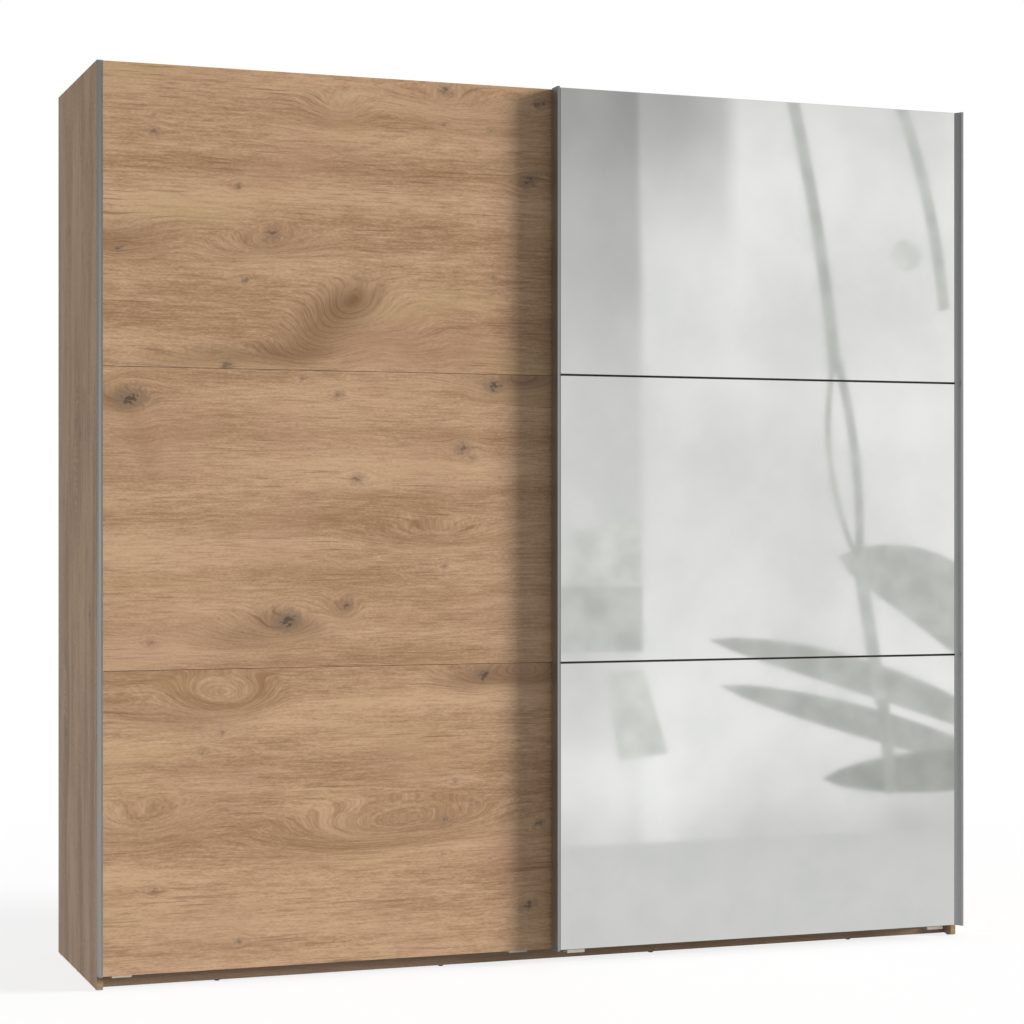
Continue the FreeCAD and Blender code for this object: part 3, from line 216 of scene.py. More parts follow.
OAK_LIGHT = srgb(203, 168, 134)
OAK_DARK = srgb(153, 117, 84)
OAK_ROSE = srgb(185, 144, 117)
OAK_STRAW = srgb(193, 165, 120)
OAK_LINE = srgb(122, 90, 62)
KNOT_CORE = srgb(74, 54, 36)
KNOT_GREY = srgb(134, 113, 94)
FIGURE_BROWN = srgb(120, 88, 60)
GREY_VEIL = srgb(148, 136, 124)
# Painted shade: the dark brown put on the mirror door's board fronts, standing in for the shade in the
# gaps between the mirrors.
GAP_SHADE_BROWN = srgb(52, 42, 34)


KNOT_STRETCH = 1.5
KNOT_TILT = 0.3
KNOT_REACH = 4.5
KNOT_PULL = 0.75
RAGGED = 3.2
FIGURE_REACH = 2.0
GAP_SHADE_STEP = 0.0004


def bend_by_figures(surface, flat, flow, figures):
    """The grain bent up by each figure, and how far each place is darkened by them."""
    stain = None
    for along, across, length, width, tilt, pull, darkness in figures:
        oval = surface.spread(flat, (along, across), (length, width), math.radians(tilt))
        rise = oval.ease(FIGURE_REACH, 0.0)
        flow = flow + rise * pull
        patch = rise * darkness
        stain = patch if stain is None else stain + patch
    return flow, stain


def bend_by_knots(surface, flat, flow, across_place, blotch, knots):
    """The grain parted round each knot, with the knots' dark cores and their greyish borders."""
    core = None
    halo = None
    for along, across, radius in knots:
        oval = surface.spread(flat, (along, across), (radius * KNOT_STRETCH, radius), KNOT_TILT)
        part = (across_place - across) * oval.ease(KNOT_REACH, 0.6)
        flow = flow - part * KNOT_PULL
        ragged = oval + blotch * RAGGED
        dark = ragged.ease(0.80, 0.25) * min(1.0, radius * 70)
        ring = ragged.ease(2.2, 0.8) * min(1.0, radius * 60)
        core = dark if core is None else core.larger(dark)
        halo = ring if halo is None else halo.larger(ring)
    return flow, core, halo


def oak(
    name, along, across, knots=(), figures=(), seed=0.0, shade=1.0, grey=0.0, depth=1.0, dark_front=None
):
    """Matt oak decor foil, with its grain along one axis of the piece and across another.
    Knots are (along, across, radius). Figures are (along, across, length, width, tilt, pull,
    darkness): grain lines rise by pull over that oval, and it darkens. depth is the contrast of
    the grain. A shade below 1 darkens the whole foil: painted shade. In front of
    y = dark_front the foil is painted dark brown: painted shade in the gaps between mirrors."""
    surface = Surface(name)
    u = getattr(surface, along)
    v = getattr(surface, across)
    flat = surface.vector(u, v)
    wander = surface.noise(surface.vector(u * 0.9 + seed, v * 2.4), detail=1.0) - 0.5
    ripple = surface.noise(surface.vector(u * 7.0 + seed, v * 9.0), detail=1.0) - 0.5
    flow = v + wander * 0.030 + ripple * 0.004
    blotch = surface.noise(surface.vector(u * 85.0, v * 120.0, seed), detail=3.0) - 0.5
    flow, stain = bend_by_figures(surface, flat, flow, figures)
    flow, core, halo = bend_by_knots(surface, flat, flow, v, blotch, knots)

    bands = surface.noise(surface.vector(u * 1.3 + seed, flow * 13.0, seed), detail=2.0)
    streaks = surface.noise(surface.vector(u * 15.0, flow * 165.0, seed + 3), detail=2.5, roughness=0.6)
    fine = surface.noise(surface.vector(u * 95.0, flow * 420.0, seed + 7), detail=2.0, roughness=0.6)
    hairs = surface.noise(surface.vector(u * 7.0, flow * 260.0, seed + 11), detail=1.0)
    sparse = surface.noise(surface.vector(u * 3.0, v * 18.0, seed + 15), detail=1.0)
    patches = surface.noise(surface.vector(u * 2.6 + seed, v * 4.0, seed + 5), detail=2.0)
    straw = surface.noise(surface.vector(u * 2.0, v * 8.0 + seed, seed + 19), detail=1.0)
    pores = surface.noise(surface.vector(u * 140.0, flow * 1500.0, seed + 23), detail=1.0)

    rings = (flow * 62.0 + bands * 3.0).fold()
    ring_line = rings.power(5.0)
    tone = (bands * 0.95 + streaks * 0.85 + fine * 0.75 - 1.275) * depth + 0.53
    colour = surface.mix(tone.ease(0.10, 0.90), OAK_DARK, OAK_LIGHT)
    colour = surface.mix(patches.ease(0.48, 0.75) * 0.4, colour, OAK_ROSE)
    colour = surface.mix(straw.ease(0.55, 0.78) * 0.35, colour, OAK_STRAW)
    hair_line = hairs.ease(0.58, 0.72) * sparse.ease(0.40, 0.64, 0.20, 1.0)
    colour = surface.mix(hair_line * 0.55, colour, OAK_LINE)
    colour = surface.mix(pores.ease(0.55, 0.80) * 0.16, colour, OAK_LINE)
    if stain is not None:
        grain = streaks * 0.9 + ring_line * 0.5 + 0.3
        colour = surface.mix((stain * grain).smaller(0.85), colour, FIGURE_BROWN)
    if core is not None:
        colour = surface.mix((halo * (streaks + 0.20)).smaller(0.8), colour, KNOT_GREY)
        colour = surface.mix(core * 0.72, colour, KNOT_CORE)
    if grey:
        colour = surface.mix(grey, colour, GREY_VEIL)
    # Painted shade: a shade below 1 darkens the whole foil, standing in for the shade it lies in.
    if shade != 1.0:
        colour = surface.mix(1.0, colour, (shade, shade, shade, 1.0), "MULTIPLY")
    # Painted shade: in front of the given y the foil turns dark brown, standing in for the shade in the
    # gaps between the mirrors.
    if dark_front is not None:
        in_gap_shade = surface.y.ease(dark_front, dark_front - GAP_SHADE_STEP)
        colour = surface.mix(in_gap_shade, colour, GAP_SHADE_BROWN)
    relief = streaks * 0.3 + fine * 0.3 + pores.ease(0.45, 0.8) * -0.7 - hair_line * 0.6
    surface.bump(relief, 0.0001)
    surface.set(base_color=colour, roughness=streaks.ease(0.2, 0.8, 0.5, 0.62), specular_ior_level=0.3)
    return surface.material


# Knots and figures of the oak door's boards: metres along the board and up it, from its lower
# left corner.
TOP_KNOTS = (
    (0.14, 0.60, 0.008),
    (0.14, 0.64, 0.005),
    (0.36, 0.47, 0.007),
    (0.45, 0.35, 0.011),
    (0.38, 0.23, 0.007),
    (0.05, 0.30, 0.008),
    (0.92, 0.75, 0.010),
    (0.92, 0.66, 0.006),
    (1.05, 0.65, 0.006),
    (1.16, 0.52, 0.013),
    (1.19, 0.73, 0.011),
    (1.06, 0.26, 0.006),
    (0.33, 0.01, 0.009),
)
TOP_FIGURES = (
    (0.59, 0.12, 0.14, 0.052, 38, 0.05, 0.62),
    (0.66, 0.18, 0.07, 0.034, 12, 0.01, 0.42),
    (0.63, 0.08, 0.10, 0.060, 40, 0.05, 0.12),
    (0.77, 0.12, 0.11, 0.050, -25, 0.04, 0.08),
    (0.34, 0.03, 0.17, 0.022, 4, 0.02, 0.55),
    (0.03, 0.33, 0.11, 0.040, 0, 0.03, 0.40),
    (0.44, 0.32, 0.13, 0.030, 8, 0.04, 0.22),
    (0.63, 0.68, 0.07, 0.035, 0, 0.04, 0.12),
    (0.94, 0.71, 0.16, 0.040, -6, 0.04, 0.14),
)
MIDDLE_KNOTS = (
    (0.08, 0.69, 0.019),
    (0.53, 0.75, 0.006),
    (0.63, 0.71, 0.008),
    (1.06, 0.74, 0.014),
    (0.97, 0.57, 0.011),
    (1.00, 0.55, 0.007),
    (0.68, 0.49, 0.010),
    (0.92, 0.26, 0.006),
    (0.65, 0.16, 0.010),
    (0.49, 0.12, 0.017),
    (0.13, 0.07, 0.007),
)
MIDDLE_FIGURES = (
    (0.05, 0.69, 0.06, 0.026, 0, 0.03, 0.75),
    (0.11, 0.59, 0.03, 0.060, 20, 0.01, 0.25),
    (1.07, 0.75, 0.11, 0.030, -8, 0.04, 0.50),
    (1.18, 0.76, 0.07, 0.024, 0, 0.02, 0.55),
    (0.42, 0.10, 0.12, 0.040, 10, 0.04, 0.50),
    (0.51, 0.11, 0.07, 0.026, -15, 0.01, 0.45),
    (0.64, 0.15, 0.04, 0.030, -40, 0.03, 0.25),
    (0.89, 0.34, 0.16, 0.030, 0, 0.04, 0.12),
)
BOTTOM_KNOTS = (
    (1.03, 0.74, 0.013),
    (0.32, 0.61, 0.006),
    (0.27, 0.56, 0.007),
    (0.95, 0.46, 0.006),
    (1.00, 0.41, 0.005),
    (1.01, 0.40, 0.004),
    (0.92, 0.36, 0.009),
    (1.19, 0.34, 0.010),
    (0.92, 0.27, 0.005),
    (1.05, 0.25, 0.004),
    (0.14, 0.21, 0.006),
    (1.16, 0.12, 0.012),
    (0.36, 0.07, 0.007),
)
BOTTOM_FIGURES = (
    (0.32, 0.70, 0.10, 0.042, -3, 0.10, 0.10),
    (0.18, 0.65, 0.14, 0.030, -10, 0.02, 0.28),
    (1.02, 0.74, 0.09, 0.032, 6, 0.03, 0.70),
    (1.16, 0.74, 0.08, 0.030, 0, 0.06, 0.35),
    (0.82, 0.36, 0.19, 0.040, 0, 0.09, 0.18),
    (0.10, 0.38, 0.12, 0.040, 5, 0.05, 0.12),
    (0.64, 0.32, 0.17, 0.040, 0, 0.04, 0.12),
)

# ---------------------------------------------------------------- other finishes


def linen():
    """Pale decor with a fine woven print, as inside a wardrobe."""
    surface = Surface("linen_decor")
    thread_x = surface.noise(surface.vector(surface.x * 30, surface.y * 30, surface.z * 900), detail=2.0)
    thread_z = surface.noise(surface.vector(surface.x * 900, surface.y * 900, surface.z * 30), detail=2.0)
    cloud = surface.noise(surface.place, scale=3.0, detail=3.0)
    weave = thread_x * 0.5 + thread_z * 0.5
    colour = surface.mix(weave.ease(0.3, 0.7), srgb(196, 190, 180), srgb(222, 217, 208))
    colour = surface.mix(cloud.ease(0.3, 0.7) * 0.25, colour, srgb(205, 197, 184))
    surface.bump(weave, 0.00008)
    surface.set(base_color=colour, roughness=weave.ease(0.2, 0.8, 0.5, 0.6), specular_ior_level=0.35)
    return surface.material


def hardboard():
    """Printed hardboard: a smooth pale face with long fibres just showing."""
    surface = Surface("printed_hardboard")
    fibres = surface.noise(surface.place, scale=420.0, detail=4.0, roughness=0.7)
    cloud = surface.noise(surface.place, scale=5.0, detail=3.0)
    colour = surface.mix(fibres.ease(0.3, 0.7), srgb(176, 160, 138), srgb(196, 182, 162))
    colour = surface.mix(cloud.ease(0.35, 0.75) * 0.3, colour, srgb(168, 148, 122))
    surface.bump(fibres, 0.0001)
    surface.set(base_color=colour, roughness=fibres.ease(0.2, 0.8, 0.6, 0.75))
    return surface.material


def chipboard():
    """The raw core of a board, seen in grooves and bores."""
    surface = Surface("raw_chipboard")
    chips = surface.cells(surface.place, 420.0)
    dust = surface.noise(surface.place, scale=900.0, detail=3.0)
    colour = surface.mix(chips.ease(0.1, 0.7), srgb(188, 158, 118), srgb(128, 98, 64))
    colour = surface.mix(dust.ease(0.3, 0.7) * 0.5, colour, srgb(206, 180, 140))
    surface.bump(chips * 0.6 + dust * 0.4, 0.0003)
    surface.set(base_color=colour, roughness=dust.ease(0.2, 0.8, 0.75, 0.95))
    return surface.material


def aluminium():
    """Natural anodised extrusion: satin, with fine lines drawn along the profile."""
    surface = Surface("anodised_aluminium")
    drawn_z = surface.noise(surface.vector(surface.x * 2600, surface.y * 2600, surface.z * 3), detail=3.0)
    cloud = surface.noise(surface.place, scale=6.0, detail=3.0)
    colour = surface.mix(drawn_z.ease(0.3, 0.7), srgb(158, 160, 161), srgb(184, 186, 186))
    colour = surface.mix(cloud.ease(0.35, 0.7) * 0.25, colour, srgb(166, 165, 161))
    surface.bump(drawn_z, 0.00003)
    surface.set(base_color=colour, metallic=1.0, roughness=drawn_z.ease(0.2, 0.8, 0.34, 0.46))
    surface.set(anisotropic=0.3)
    return surface.material


def moulded(name, colour, dark, rough, grain=1800.0, transmission=0.0):
    """Moulded plastic with a fine spark-eroded grain and a faint flow mark."""
    surface = Surface(name)
    spark = surface.noise(surface.place, scale=grain, detail=2.0)
    flow = surface.noise(surface.place, scale=25.0, detail=2.0, distortion=0.6)
    tint = surface.mix(spark.ease(0.3, 0.7), dark, colour)
    tint = surface.mix(flow.ease(0.4, 0.7) * 0.2, tint, dark)
    surface.bump(spark, 0.00005)
    surface.set(base_color=tint, roughness=spark.ease(0.2, 0.8, rough - 0.06, rough + 0.08))
    surface.set(transmission_weight=transmission)
    return surface.material


def plated(name, colour, dark, rough):
    """Plated or cast metal with a clouded, slightly uneven sheen."""
    surface = Surface(name)
    cloud = surface.noise(surface.place, scale=120.0, detail=4.0, roughness=0.6)
    speckle = surface.noise(surface.place, scale=1500.0, detail=2.0)
    tone = surface.mix(cloud.ease(0.3, 0.7), dark, colour)
    tone = surface.mix(speckle.ease(0.5, 0.8) * 0.25, tone, dark)
    surface.bump(cloud * 0.4 + speckle * 0.6, 0.00004)
    surface.set(base_color=tone, metallic=1.0, roughness=cloud.ease(0.2, 0.8, rough - 0.08, rough + 0.08))
    return surface.material


def silvering():
    """The mirror's silver under clean float glass, with the faint unevenness of the glass."""
    surface = Surface("mirror_silver")
    waves = surface.noise(surface.place, scale=1.6, detail=1.0)
    haze = surface.noise(surface.place, scale=9.0, detail=3.0)
    colour = surface.mix(haze.ease(0.3, 0.8), srgb(244, 245, 243), srgb(238, 240, 238))
    surface.bump(waves, 0.0004)
    surface.set(base_color=colour, metallic=1.0, roughness=haze.ease(0.3, 0.8, 0.040, 0.058))
    return surface.material


def glass_edge():
    """The ground edge of float glass: pale green-grey and satin."""
    surface = Surface("ground_glass_edge")
    grind = surface.noise(surface.place, scale=1400.0, detail=2.0)
    colour = surface.mix(grind.ease(0.3, 0.7), srgb(150, 162, 156), srgb(188, 198, 192))
    surface.bump(grind, 0.00004)
    surface.set(base_color=colour, roughness=grind.ease(0.2, 0.8, 0.25, 0.4), specular_ior_level=0.8)
    return surface.material


def backing_paint():
    """The grey protective paint on a mirror's back."""
    surface = Surface("mirror_backing_paint")
    peel = surface.noise(surface.place, scale=350.0, detail=2.0)
    colour = surface.mix(peel.ease(0.3, 0.7), srgb(108, 112, 116), srgb(128, 132, 135))
    surface.bump(peel, 0.00008)
    surface.set(base_color=colour, roughness=peel.ease(0.2, 0.8, 0.4, 0.55))
    return surface.material


def beech():
    """Beech dowels: pale, with short rays and fine grain along X."""
    surface = Surface("beech")
    grain = surface.noise(surface.vector(surface.x * 60, surface.y * 900, surface.z * 900), detail=3.0)
    rays = surface.cells(surface.vector(surface.x * 0.3, surface.y, surface.z), 900.0)
    colour = surface.mix(grain.ease(0.3, 0.7), srgb(206, 170, 124), srgb(226, 196, 154))
    colour = surface.mix(rays.ease(0.25, 0.0) * 0.5, colour, srgb(168, 122, 80))
    surface.bump(grain, 0.00015)
    surface.set(base_color=colour, roughness=grain.ease(0.2, 0.8, 0.6, 0.75))
    return surface.material


# ---------------------------------------------------------------- which finish goes where


def door_oak(level, knots, figures, seed):
    """The decor of one oak board, with its knots and figures placed from the board's corner."""
    low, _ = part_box(f"oak_door_board_{level}")

    def placed(marks):
        return [(low[0] + along, low[2] + up, *rest) for along, up, *rest in marks]

    return oak(f"oak_foil_{level}", "x", "z", placed(knots), placed(figures), seed=seed)


DOOR_DECOR = {
    "top": door_oak("top", TOP_KNOTS, TOP_FIGURES, 1.7),
    "middle": door_oak("middle", MIDDLE_KNOTS, MIDDLE_FIGURES, 6.1),
    "bottom": door_oak("bottom", BOTTOM_KNOTS, BOTTOM_FIGURES, 12.4),
}

# Knots and figures of the side panels: metres up from the floor and back from the middle.
UPRIGHT_KNOTS = (
    (1.42, -0.02, 0.010),
    (0.62, 0.19, 0.012),
    (1.97, 0.14, 0.008),
    (0.95, -0.16, 0.009),
)
UPRIGHT_FIGURES = (
    (0.66, 0.18, 0.16, 0.030, 3, 0.05, 0.30),
    (1.40, 0.00, 0.20, 0.035, -4, 0.06, 0.20),
)
upright_oak = oak(
    "oak_foil_upright", "z", "y", UPRIGHT_KNOTS, UPRIGHT_FIGURES, seed=21.0, grey=0.3, depth=2.2
)
# Painted shade: the across-grain oak of the plinth and the other oak_decor boards is darkened to 0.72,
# standing in for the shade under the doors.
across_oak = oak("oak_foil_across", "x", "z", seed=33.0, shade=0.72, grey=0.3)

# The mirror door's boards show only in the gaps between the mirrors; their front face is painted dark
# brown there, painted shade for the gaps.
GAP_SHADE_SKIN = 0.001
mirror_board_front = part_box("mirror_door_board_middle")[0][1]
mirror_board_oak = oak(
    "oak_foil_behind_mirrors", "x", "z", seed=41.0, dark_front=mirror_board_front + GAP_SHADE_SKIN
)

FINISHES = {
    "oak_decor": across_oak,
    "oak_door_decor": DOOR_DECOR["middle"],
    "interior_decor": linen(),
    "hardboard": hardboard(),
    "mirror": silvering(),
    "aluminium": aluminium(),
    "guide_plastic": moulded("grey_guide_plastic", srgb(168, 166, 162), srgb(140, 138, 134), 0.45),
    "clear_plastic": moulded(
        "pale_plastic", srgb(214, 206, 196), srgb(190, 180, 168), 0.35, transmission=0.2
    ),
    "grey_plastic": moulded("grey_plastic", srgb(150, 149, 146), srgb(122, 121, 118), 0.5),
    "dark_plastic": moulded("dark_plastic", srgb(62, 58, 54), srgb(38, 36, 34), 0.55),
    "nylon": moulded("white_nylon", srgb(232, 230, 222), srgb(210, 206, 196), 0.35, grain=900.0),
    "steel": plated("zinc_plated_steel", srgb(200, 200, 198), srgb(160, 160, 156), 0.32),
    "zinc_casting": plated("zinc_casting", srgb(172, 174, 178), srgb(128, 130, 134), 0.45),
    "chrome_tube": plated("chrome_tube", srgb(222, 222, 224), srgb(206, 206, 208), 0.14),
    "beech": beech(),
    "rubber": moulded("black_rubber", srgb(44, 44, 44), srgb(24, 24, 24), 0.7),
}

for node_name, node in NODES.items():
    node.data.materials.clear()
    node.data.materials.append(FINISHES[SLOT_OF[node_name]])
for side in ("left", "right"):
    NODES[f"side_panel_{side}"].data.materials[0] = upright_oak
for level, decor in DOOR_DECOR.items():
    NODES[f"oak_door_board_{level}"].data.materials[0] = decor
    NODES[f"mirror_door_board_{level}"].data.materials[0] = mirror_board_oak


# ---------------------------------------------------------------- fine edges

RAW_CORE = chipboard()
GROUND_EDGE = glass_edge()
BACK_PAINT = backing_paint()
LONG_EDGE = 0.04
CREASE = math.radians(30.0)
LEVEL_ANGLE = math.radians(0.5)
WELD = 1e-6
SKIN = 0.0006
SQUARE = 0.9
BOARD_ROUNDING = 0.0005
MIRROR_ROUNDING = 0.0006
PROFILE_ROUNDING = 0.0003


def is_long_corner(edge):
    """True for an edge worth rounding: long, and between two faces at a clear angle."""
    if len(edge.link_faces) != 2 or edge.calc_length() <= LONG_EDGE:
        return False
    return edge.calc_face_angle() > CREASE


def rounded(node_name, radius, finishes, finish_of, segments=2):
    """Shows the CAD node with its long edges rounded; finish_of(face) gives a face's finish number."""
    node = NODES[node_name]
    shape = bmesh.new()
    shape.from_mesh(node.data)
    bmesh.ops.remove_doubles(shape, verts=shape.verts, dist=WELD)
    bmesh.ops.dissolve_limit(
        shape,
        angle_limit=LEVEL_ANGLE,
        verts=shape.verts,
        edges=shape.edges,
        use_dissolve_boundaries=False,
    )
    for face in shape.faces:
        face.material_index = finish_of(face)
        face.smooth = True
    corners = [edge for edge in shape.edges if is_long_corner(edge)]
    bmesh.ops.bevel(
        shape,
        geom=corners,
        offset=radius,
        segments=segments,
        profile=0.5,
        affect="EDGES",
        material=-1,
        clamp_overlap=False,
    )
    for edge in shape.edges:
        edge.smooth = len(edge.link_faces) != 2 or edge.calc_face_angle() < CREASE
    mesh = bpy.data.meshes.new(f"{node_name}_fine")
    shape.to_mesh(mesh)
    shape.free()
    for finish in finishes:
        mesh.materials.append(finish)
    piece = add_object(f"{node_name}_fine", mesh)
    weights = piece.modifiers.new("even_shading", "WEIGHTED_NORMAL")
    weights.keep_sharp = True
    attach(piece, BODY_OF[node_name])
    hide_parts(node_name)


def board_finish(low, high):
    """Foil or banding on a board's outer faces (0), raw chipboard in its grooves and bores (1)."""

    def finish_of(face):
        centre = face.calc_center_median()
        for axis in range(3):
            place = centre[axis]
            square = abs(face.normal[axis]) > SQUARE
            if square and (place < low[axis] + SKIN or place > high[axis] - SKIN):
                return 0
        return 1

    return finish_of


def mirror_finish(face):
    """Silver on the front (0), a ground edge all round (1) and paint on the back (2)."""
    if abs(face.normal.y) < SQUARE:
        return 1
    return 0 if face.normal.y < 0 else 2


def only_finish(face):
    """The one finish (0) of a piece that is the same all over."""
    return 0


BOARD_STARTS = ("side_panel", "plinth", "hat_shelf")
BOARDS = [name for name in NODES if "_board_" in name or name.startswith(BOARD_STARTS)]
BOARDS += ["top_panel", "base_panel", "middle_partition"]
PROFILES = (
    "oak_door_grip",
    "oak_door_edge_profile",
    "mirror_door_grip_left",
    "mirror_door_grip_right",
)
PROFILE_FINISHES = (FINISHES["aluminium"],)
MIRROR_FINISHES = (FINISHES["mirror"], GROUND_EDGE, BACK_PAINT)

for board in BOARDS:
    foil = NODES[board].data.materials[0]
    rounded(board, BOARD_ROUNDING, (foil, RAW_CORE), board_finish(*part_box(board)))
for level in DOOR_DECOR:
    rounded(f"mirror_{level}", MIRROR_ROUNDING, MIRROR_FINISHES, mirror_finish, segments=1)
for profile in PROFILES:
    rounded(profile, PROFILE_ROUNDING, PROFILE_FINISHES, only_finish)

# ---------------------------------------------------------------- stage, light and camera

WHITE = (1.0, 1.0, 1.0, 1.0)
FLOOR_RADIUS = 40.0
FLOOR_GREY = (0.29, 0.29, 0.29, 1.0)
FLOOR_PALE = (0.31, 0.31, 0.31, 1.0)
FADE_START, FADE_END = 1.5, 5.0

# Strengths of the stage: as seen by the camera, as mirrored in shiny surfaces, as felt elsewhere.
FLOOR_GLOW = (0.78, 0.44, 0.30)
FAR_FLOOR_GLOW = (1.0, 0.60, 0.35)
SURROUND_GLOW = (1.0, 0.36, 0.30)


def strength_by_use(tree, seen, mirrored, felt):
    """A stage strength that depends on how a ray of light meets the stage."""
    path = tree.nodes.new("ShaderNodeLightPath")
    direct = Field(tree, path.outputs["Is Camera Ray"]) * (seen - felt)
    reflected = Field(tree, path.outputs["Is Glossy Ray"]) * (mirrored - felt)
    return direct + reflected + felt


def pale_floor():
    """A lit white studio floor that fades into the white surround away from the object."""
    surface = Surface("studio_floor")
    tree = surface.tree
    away = surface.spread(surface.vector(surface.x, surface.y), (0.0, 0.0), (1.0, 1.0))
    mottle = surface.noise(surface.place, scale=2.0, detail=2.0)
    surface.set(base_color=surface.mix(mottle, FLOOR_GREY, FLOOR_PALE))
    surface.set(roughness=0.9, specular_ior_level=0.1)
    surface.set(emission_color=WHITE, emission_strength=strength_by_use(tree, *FLOOR_GLOW))
    surround = tree.nodes.new("ShaderNodeEmission")
    surround.inputs["Color"].default_value = WHITE
    plug(tree, surround.inputs["Strength"], strength_by_use(tree, *FAR_FLOOR_GLOW))
    blend = tree.nodes.new("ShaderNodeMixShader")
    plug(tree, blend.inputs[0], away.ease(FADE_START, FADE_END))
    tree.links.new(surface.shader.outputs[0], blend.inputs[1])
    tree.links.new(surround.outputs[0], blend.inputs[2])
    tree.links.new(blend.outputs[0], tree.nodes["Material Output"].inputs["Surface"])
    return surface.material


def make_floor():
    """A wide round floor at the wardrobe's feet."""
    mesh = bpy.data.meshes.new("studio_floor")
    shape = bmesh.new()
    bmesh.ops.create_circle(shape, cap_ends=True, radius=FLOOR_RADIUS, segments=96)
    shape.to_mesh(mesh)
    shape.free()
    mesh.materials.append(pale_floor())
    add_object("studio_floor", mesh)


# What the mirrors show: a soft bright room with a plant, on a card in front of the wardrobe.
# Places on the card are (x, z) in metres; the card stands at y = CARD_Y.
CARD_Y = -2.5
CARD_LEFT, CARD_RIGHT, CARD_TOP = -2.2, 4.2, 3.4
STEMS = (
    # level, half width, bow, top, foot
    (0.50, 0.025, 0.02, (1.76, 2.78), (1.94, 1.76)),
    (0.55, 0.012, -0.06, (1.93, 1.80), (2.02, 1.06)),
    (0.52, 0.018, 0.03, (1.94, 1.80), (2.03, 1.06)),
    (0.56, 0.028, 0.00, (2.02, 1.06), (2.12, 0.50)),
    (0.48, 0.026, 0.00, (2.12, 0.52), (2.16, 0.16)),
    (0.55, 0.024, 0.03, (2.18, 2.80), (2.38, 2.00)),
)
LEAVES = (
    # level, half width, bow, foot, tip
    (0.54, 0.150, 0.12, (1.98, 1.06), (2.80, 0.50)),
    (0.50, 0.065, 0.05, (1.44, 0.75), (2.80, 0.32)),
    (0.48, 0.060, 0.02, (1.48, 0.58), (2.80, 0.20)),
    (0.40, 0.080, 0.00, (1.90, 0.22), (2.90, 0.24)),
    (0.68, 0.060, 0.00, (2.18, 2.21), (2.32, 2.21)),
)
GREY_BLOCKS = (
    (0.66, ((0.55, 1.10), (1.18, 1.20), (1.18, 0.95), (0.55, 0.95))),
    (0.56, ((0.55, 0.95), (1.18, 0.95), (1.18, 0.71), (0.55, 0.71))),
    (0.68, ((1.02, 0.64), (1.18, 0.64), (1.28, 0.33), (1.08, 0.31))),
)
CURVE_STEPS = 14
LEAF_TAPER = 0.6
THINNEST = 0.002
CARD_STEP = 0.01
LEAF_DIM = (0.90, 0.91, 0.88)
LEAF_PALE = (1.10, 1.11, 1.07)


def room_light():
    """The card's glow: brighter in the middle, with two tall darker panels on its left."""
    surface = Surface("room_glow")
    x, z = surface.x, surface.z
    cloud = surface.noise(surface.vector(x * 1.4, 0.0, z * 1.1), detail=2.0)
    glow = cloud.ease(0.25, 0.75, 0.74, 0.90)
    panel = x.ease(1.21, 1.16) * z.ease(1.45, 2.55, 0.08, 0.40)
    second = x.ease(1.60, 1.50) * z.ease(1.95, 2.75, 0.0, 0.27)
    crown = z.ease(2.35, 2.85) * 0.05
    low = z.ease(0.22, 0.0) * 0.10
    bright = z.ease(0.40, 0.30) * x.ease(1.6, 1.2) * 0.06
    foot = x.ease(1.7, 2.6) * z.ease(0.60, 0.10) * 0.12
    share = (glow - panel.larger(second) - crown - low - foot + bright).larger(0.18)
    tone = surface.mix(share, (0.0, 0.0, 0.0, 1.0), (1.0, 0.995, 0.985, 1.0))
    return emitting(surface, tone)


def emitting(surface, tone):
    """Turns a surface into a plain glow of the given colour."""
    glow = surface.tree.nodes.new("ShaderNodeEmission")
    plug(surface.tree, glow.inputs["Color"], tone)
    surface.tree.links.new(glow.outputs[0], surface.tree.nodes["Material Output"].inputs["Surface"])
    return surface.material


def dim_shape(name, level):
    """The material of a plant part or block on the card, a little uneven."""
    surface = Surface(name)
    cloud = surface.noise(surface.place, scale=9.0, detail=2.0)
    dim, pale = ((*(level * part for part in tint), 1.0) for tint in (LEAF_DIM, LEAF_PALE))
    return emitting(surface, surface.mix(cloud.ease(0.3, 0.7), dim, pale))


def card_piece(name, faces, material, forward):
    """Flat faces on the card, as lists of (x, z), which only shiny surfaces see."""
    mesh = bpy.data.meshes.new(name)
    shape = bmesh.new()
    for face in faces:
        shape.faces.new([shape.verts.new((x, CARD_Y + forward, z)) for x, z in face])
    shape.to_mesh(mesh)
    shape.free()
    mesh.materials.append(material)
    card = add_object(name, mesh)
    card.visible_camera = False
    card.visible_diffuse = False
    card.visible_shadow = False


def half_width_at(t, half_width, taper):
    """Half the width at the share t of a shape's length; a taper of 0 keeps it even."""
    if not taper:
        return half_width
    return max(half_width * math.sin(math.pi * t) ** taper, THINNEST)


def curved_shape(foot, tip, bow, half_width, taper):
    """The faces of a leaf or stem along a bowed middle line from foot to tip, narrowing towards
    its ends by the power taper of a half wave."""
    run_x, run_z = tip[0] - foot[0], tip[1] - foot[1]
    length = math.hypot(run_x, run_z)
    side_x, side_z = -run_z / length, run_x / length
    upper, lower = [], []
    for step in range(CURVE_STEPS + 1):
        t = step / CURVE_STEPS
        lift = bow * 4 * t * (1 - t)
        half = half_width_at(t, half_width, taper)
        x = foot[0] + run_x * t + side_x * lift
        z = foot[1] + run_z * t + side_z * lift
        upper.append((x + side_x * half, z + side_z * half))
        lower.append((x - side_x * half, z - side_z * half))
    return [[upper[i], upper[i + 1], lower[i + 1], lower[i]] for i in range(CURVE_STEPS)]


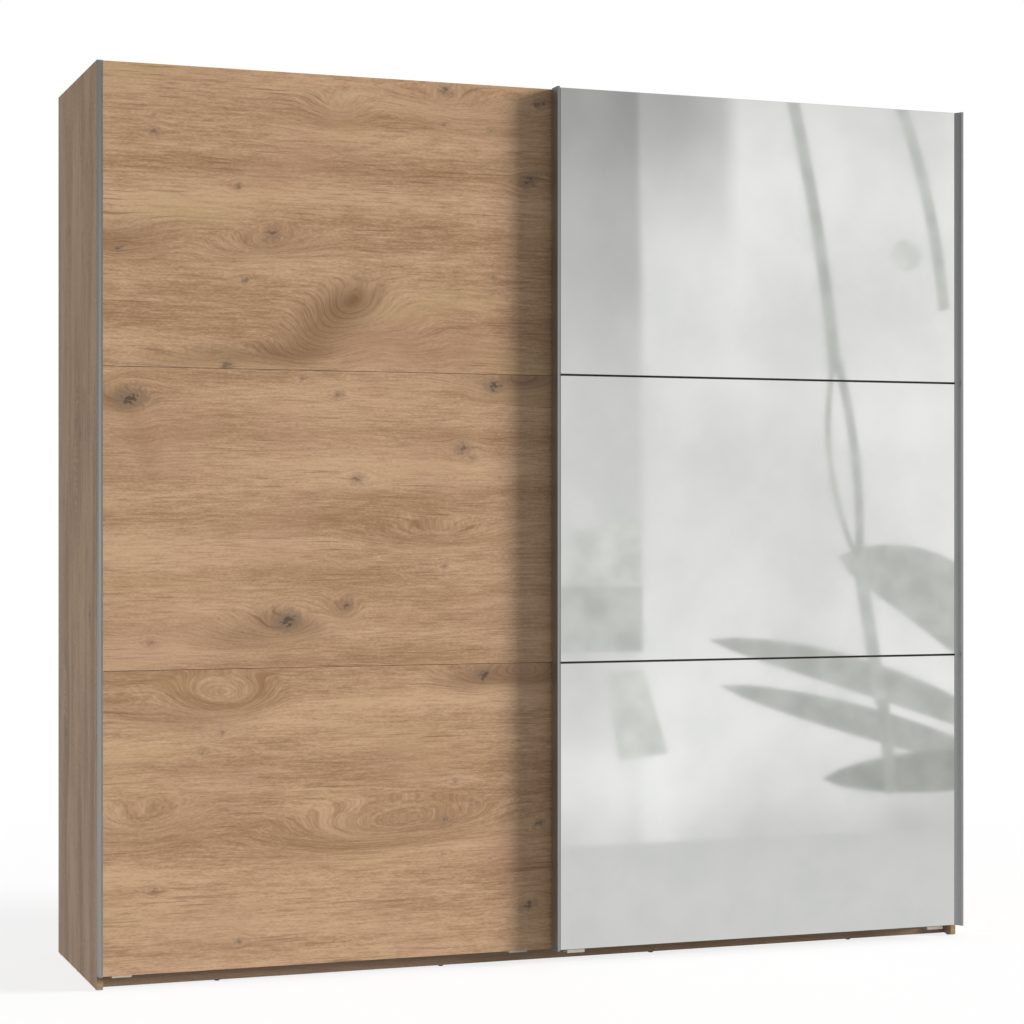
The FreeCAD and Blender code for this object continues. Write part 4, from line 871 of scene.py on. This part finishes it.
def make_room_card():
    """The glowing card, with blocks, leaves and stems one step further forward each."""
    whole = [(CARD_LEFT, 0.0), (CARD_RIGHT, 0.0), (CARD_RIGHT, CARD_TOP), (CARD_LEFT, CARD_TOP)]
    card_piece("room_card", [whole], room_light(), 0.0)
    shapes = [(level, [corners]) for level, corners in GREY_BLOCKS]
    for level, half_width, bow, foot, tip in LEAVES:
        shapes.append((level, curved_shape(foot, tip, bow, half_width, LEAF_TAPER)))
    for level, half_width, bow, top, foot in STEMS:
        shapes.append((level, curved_shape(top, foot, bow, half_width, 0)))
    for index, (level, faces) in enumerate(shapes):
        name = f"room_shape_{index}"
        card_piece(name, faces, dim_shape(name, level), CARD_STEP * (index + 1))


def make_world():
    """White surround: seen as plain white, and a softer light on the object."""
    world = bpy.data.worlds.new("studio")
    bpy.context.scene.world = world
    world.use_nodes = True
    tree = world.node_tree
    background = tree.nodes["Background"]
    background.inputs["Color"].default_value = WHITE
    plug(tree, background.inputs["Strength"], strength_by_use(tree, *SURROUND_GLOW))


def make_sun(name, direction, strength, angle_degrees):
    """Soft light from a direction; it makes no bright line in mirrors and profiles."""
    light = bpy.data.lights.new(name, "SUN")
    light.energy = strength
    light.angle = math.radians(angle_degrees)
    lamp = add_object(name, light)
    lamp.rotation_euler = Vector(direction).to_track_quat("Z", "Y").to_euler()
    lamp.visible_glossy = False


# The eye is level and stands in front of the wardrobe, out to the left, looking to its right.
EYE = (-2.35283, -6.3061, 1.18796)
EYE_TURN = -19.53
LENS, SENSOR = 84.37, 36.0
SHIFT_X, SHIFT_Y = 0.0297, 0.0102
CLIP_NEAR, CLIP_FAR = 0.1, 200.0

# Lamps: the way from the wardrobe to the lamp, its strength, and its width in degrees.
SUNS = {
    "key_light": ((0.90, -0.36, 0.22), 4.95, 16.0),
    "left_light": ((-1.0, 0.05, 0.15), 0.70, 25.0),
}


def make_camera():
    """A camera with a long lens, at the photograph's viewing angle."""
    data = bpy.data.cameras.new("camera")
    data.sensor_width = SENSOR
    data.lens = LENS
    data.shift_x, data.shift_y = SHIFT_X, SHIFT_Y
    data.clip_start, data.clip_end = CLIP_NEAR, CLIP_FAR
    camera = add_object("camera", data)
    camera.location = EYE
    camera.rotation_euler = (math.radians(90.0), 0.0, math.radians(EYE_TURN))
    bpy.context.scene.camera = camera


make_floor()
make_room_card()
make_world()
make_camera()
for sun_name, sun in SUNS.items():
    make_sun(sun_name, *sun)

scene = bpy.context.scene
scene.view_settings.view_transform = "Standard"
scene.view_settings.look = "None"
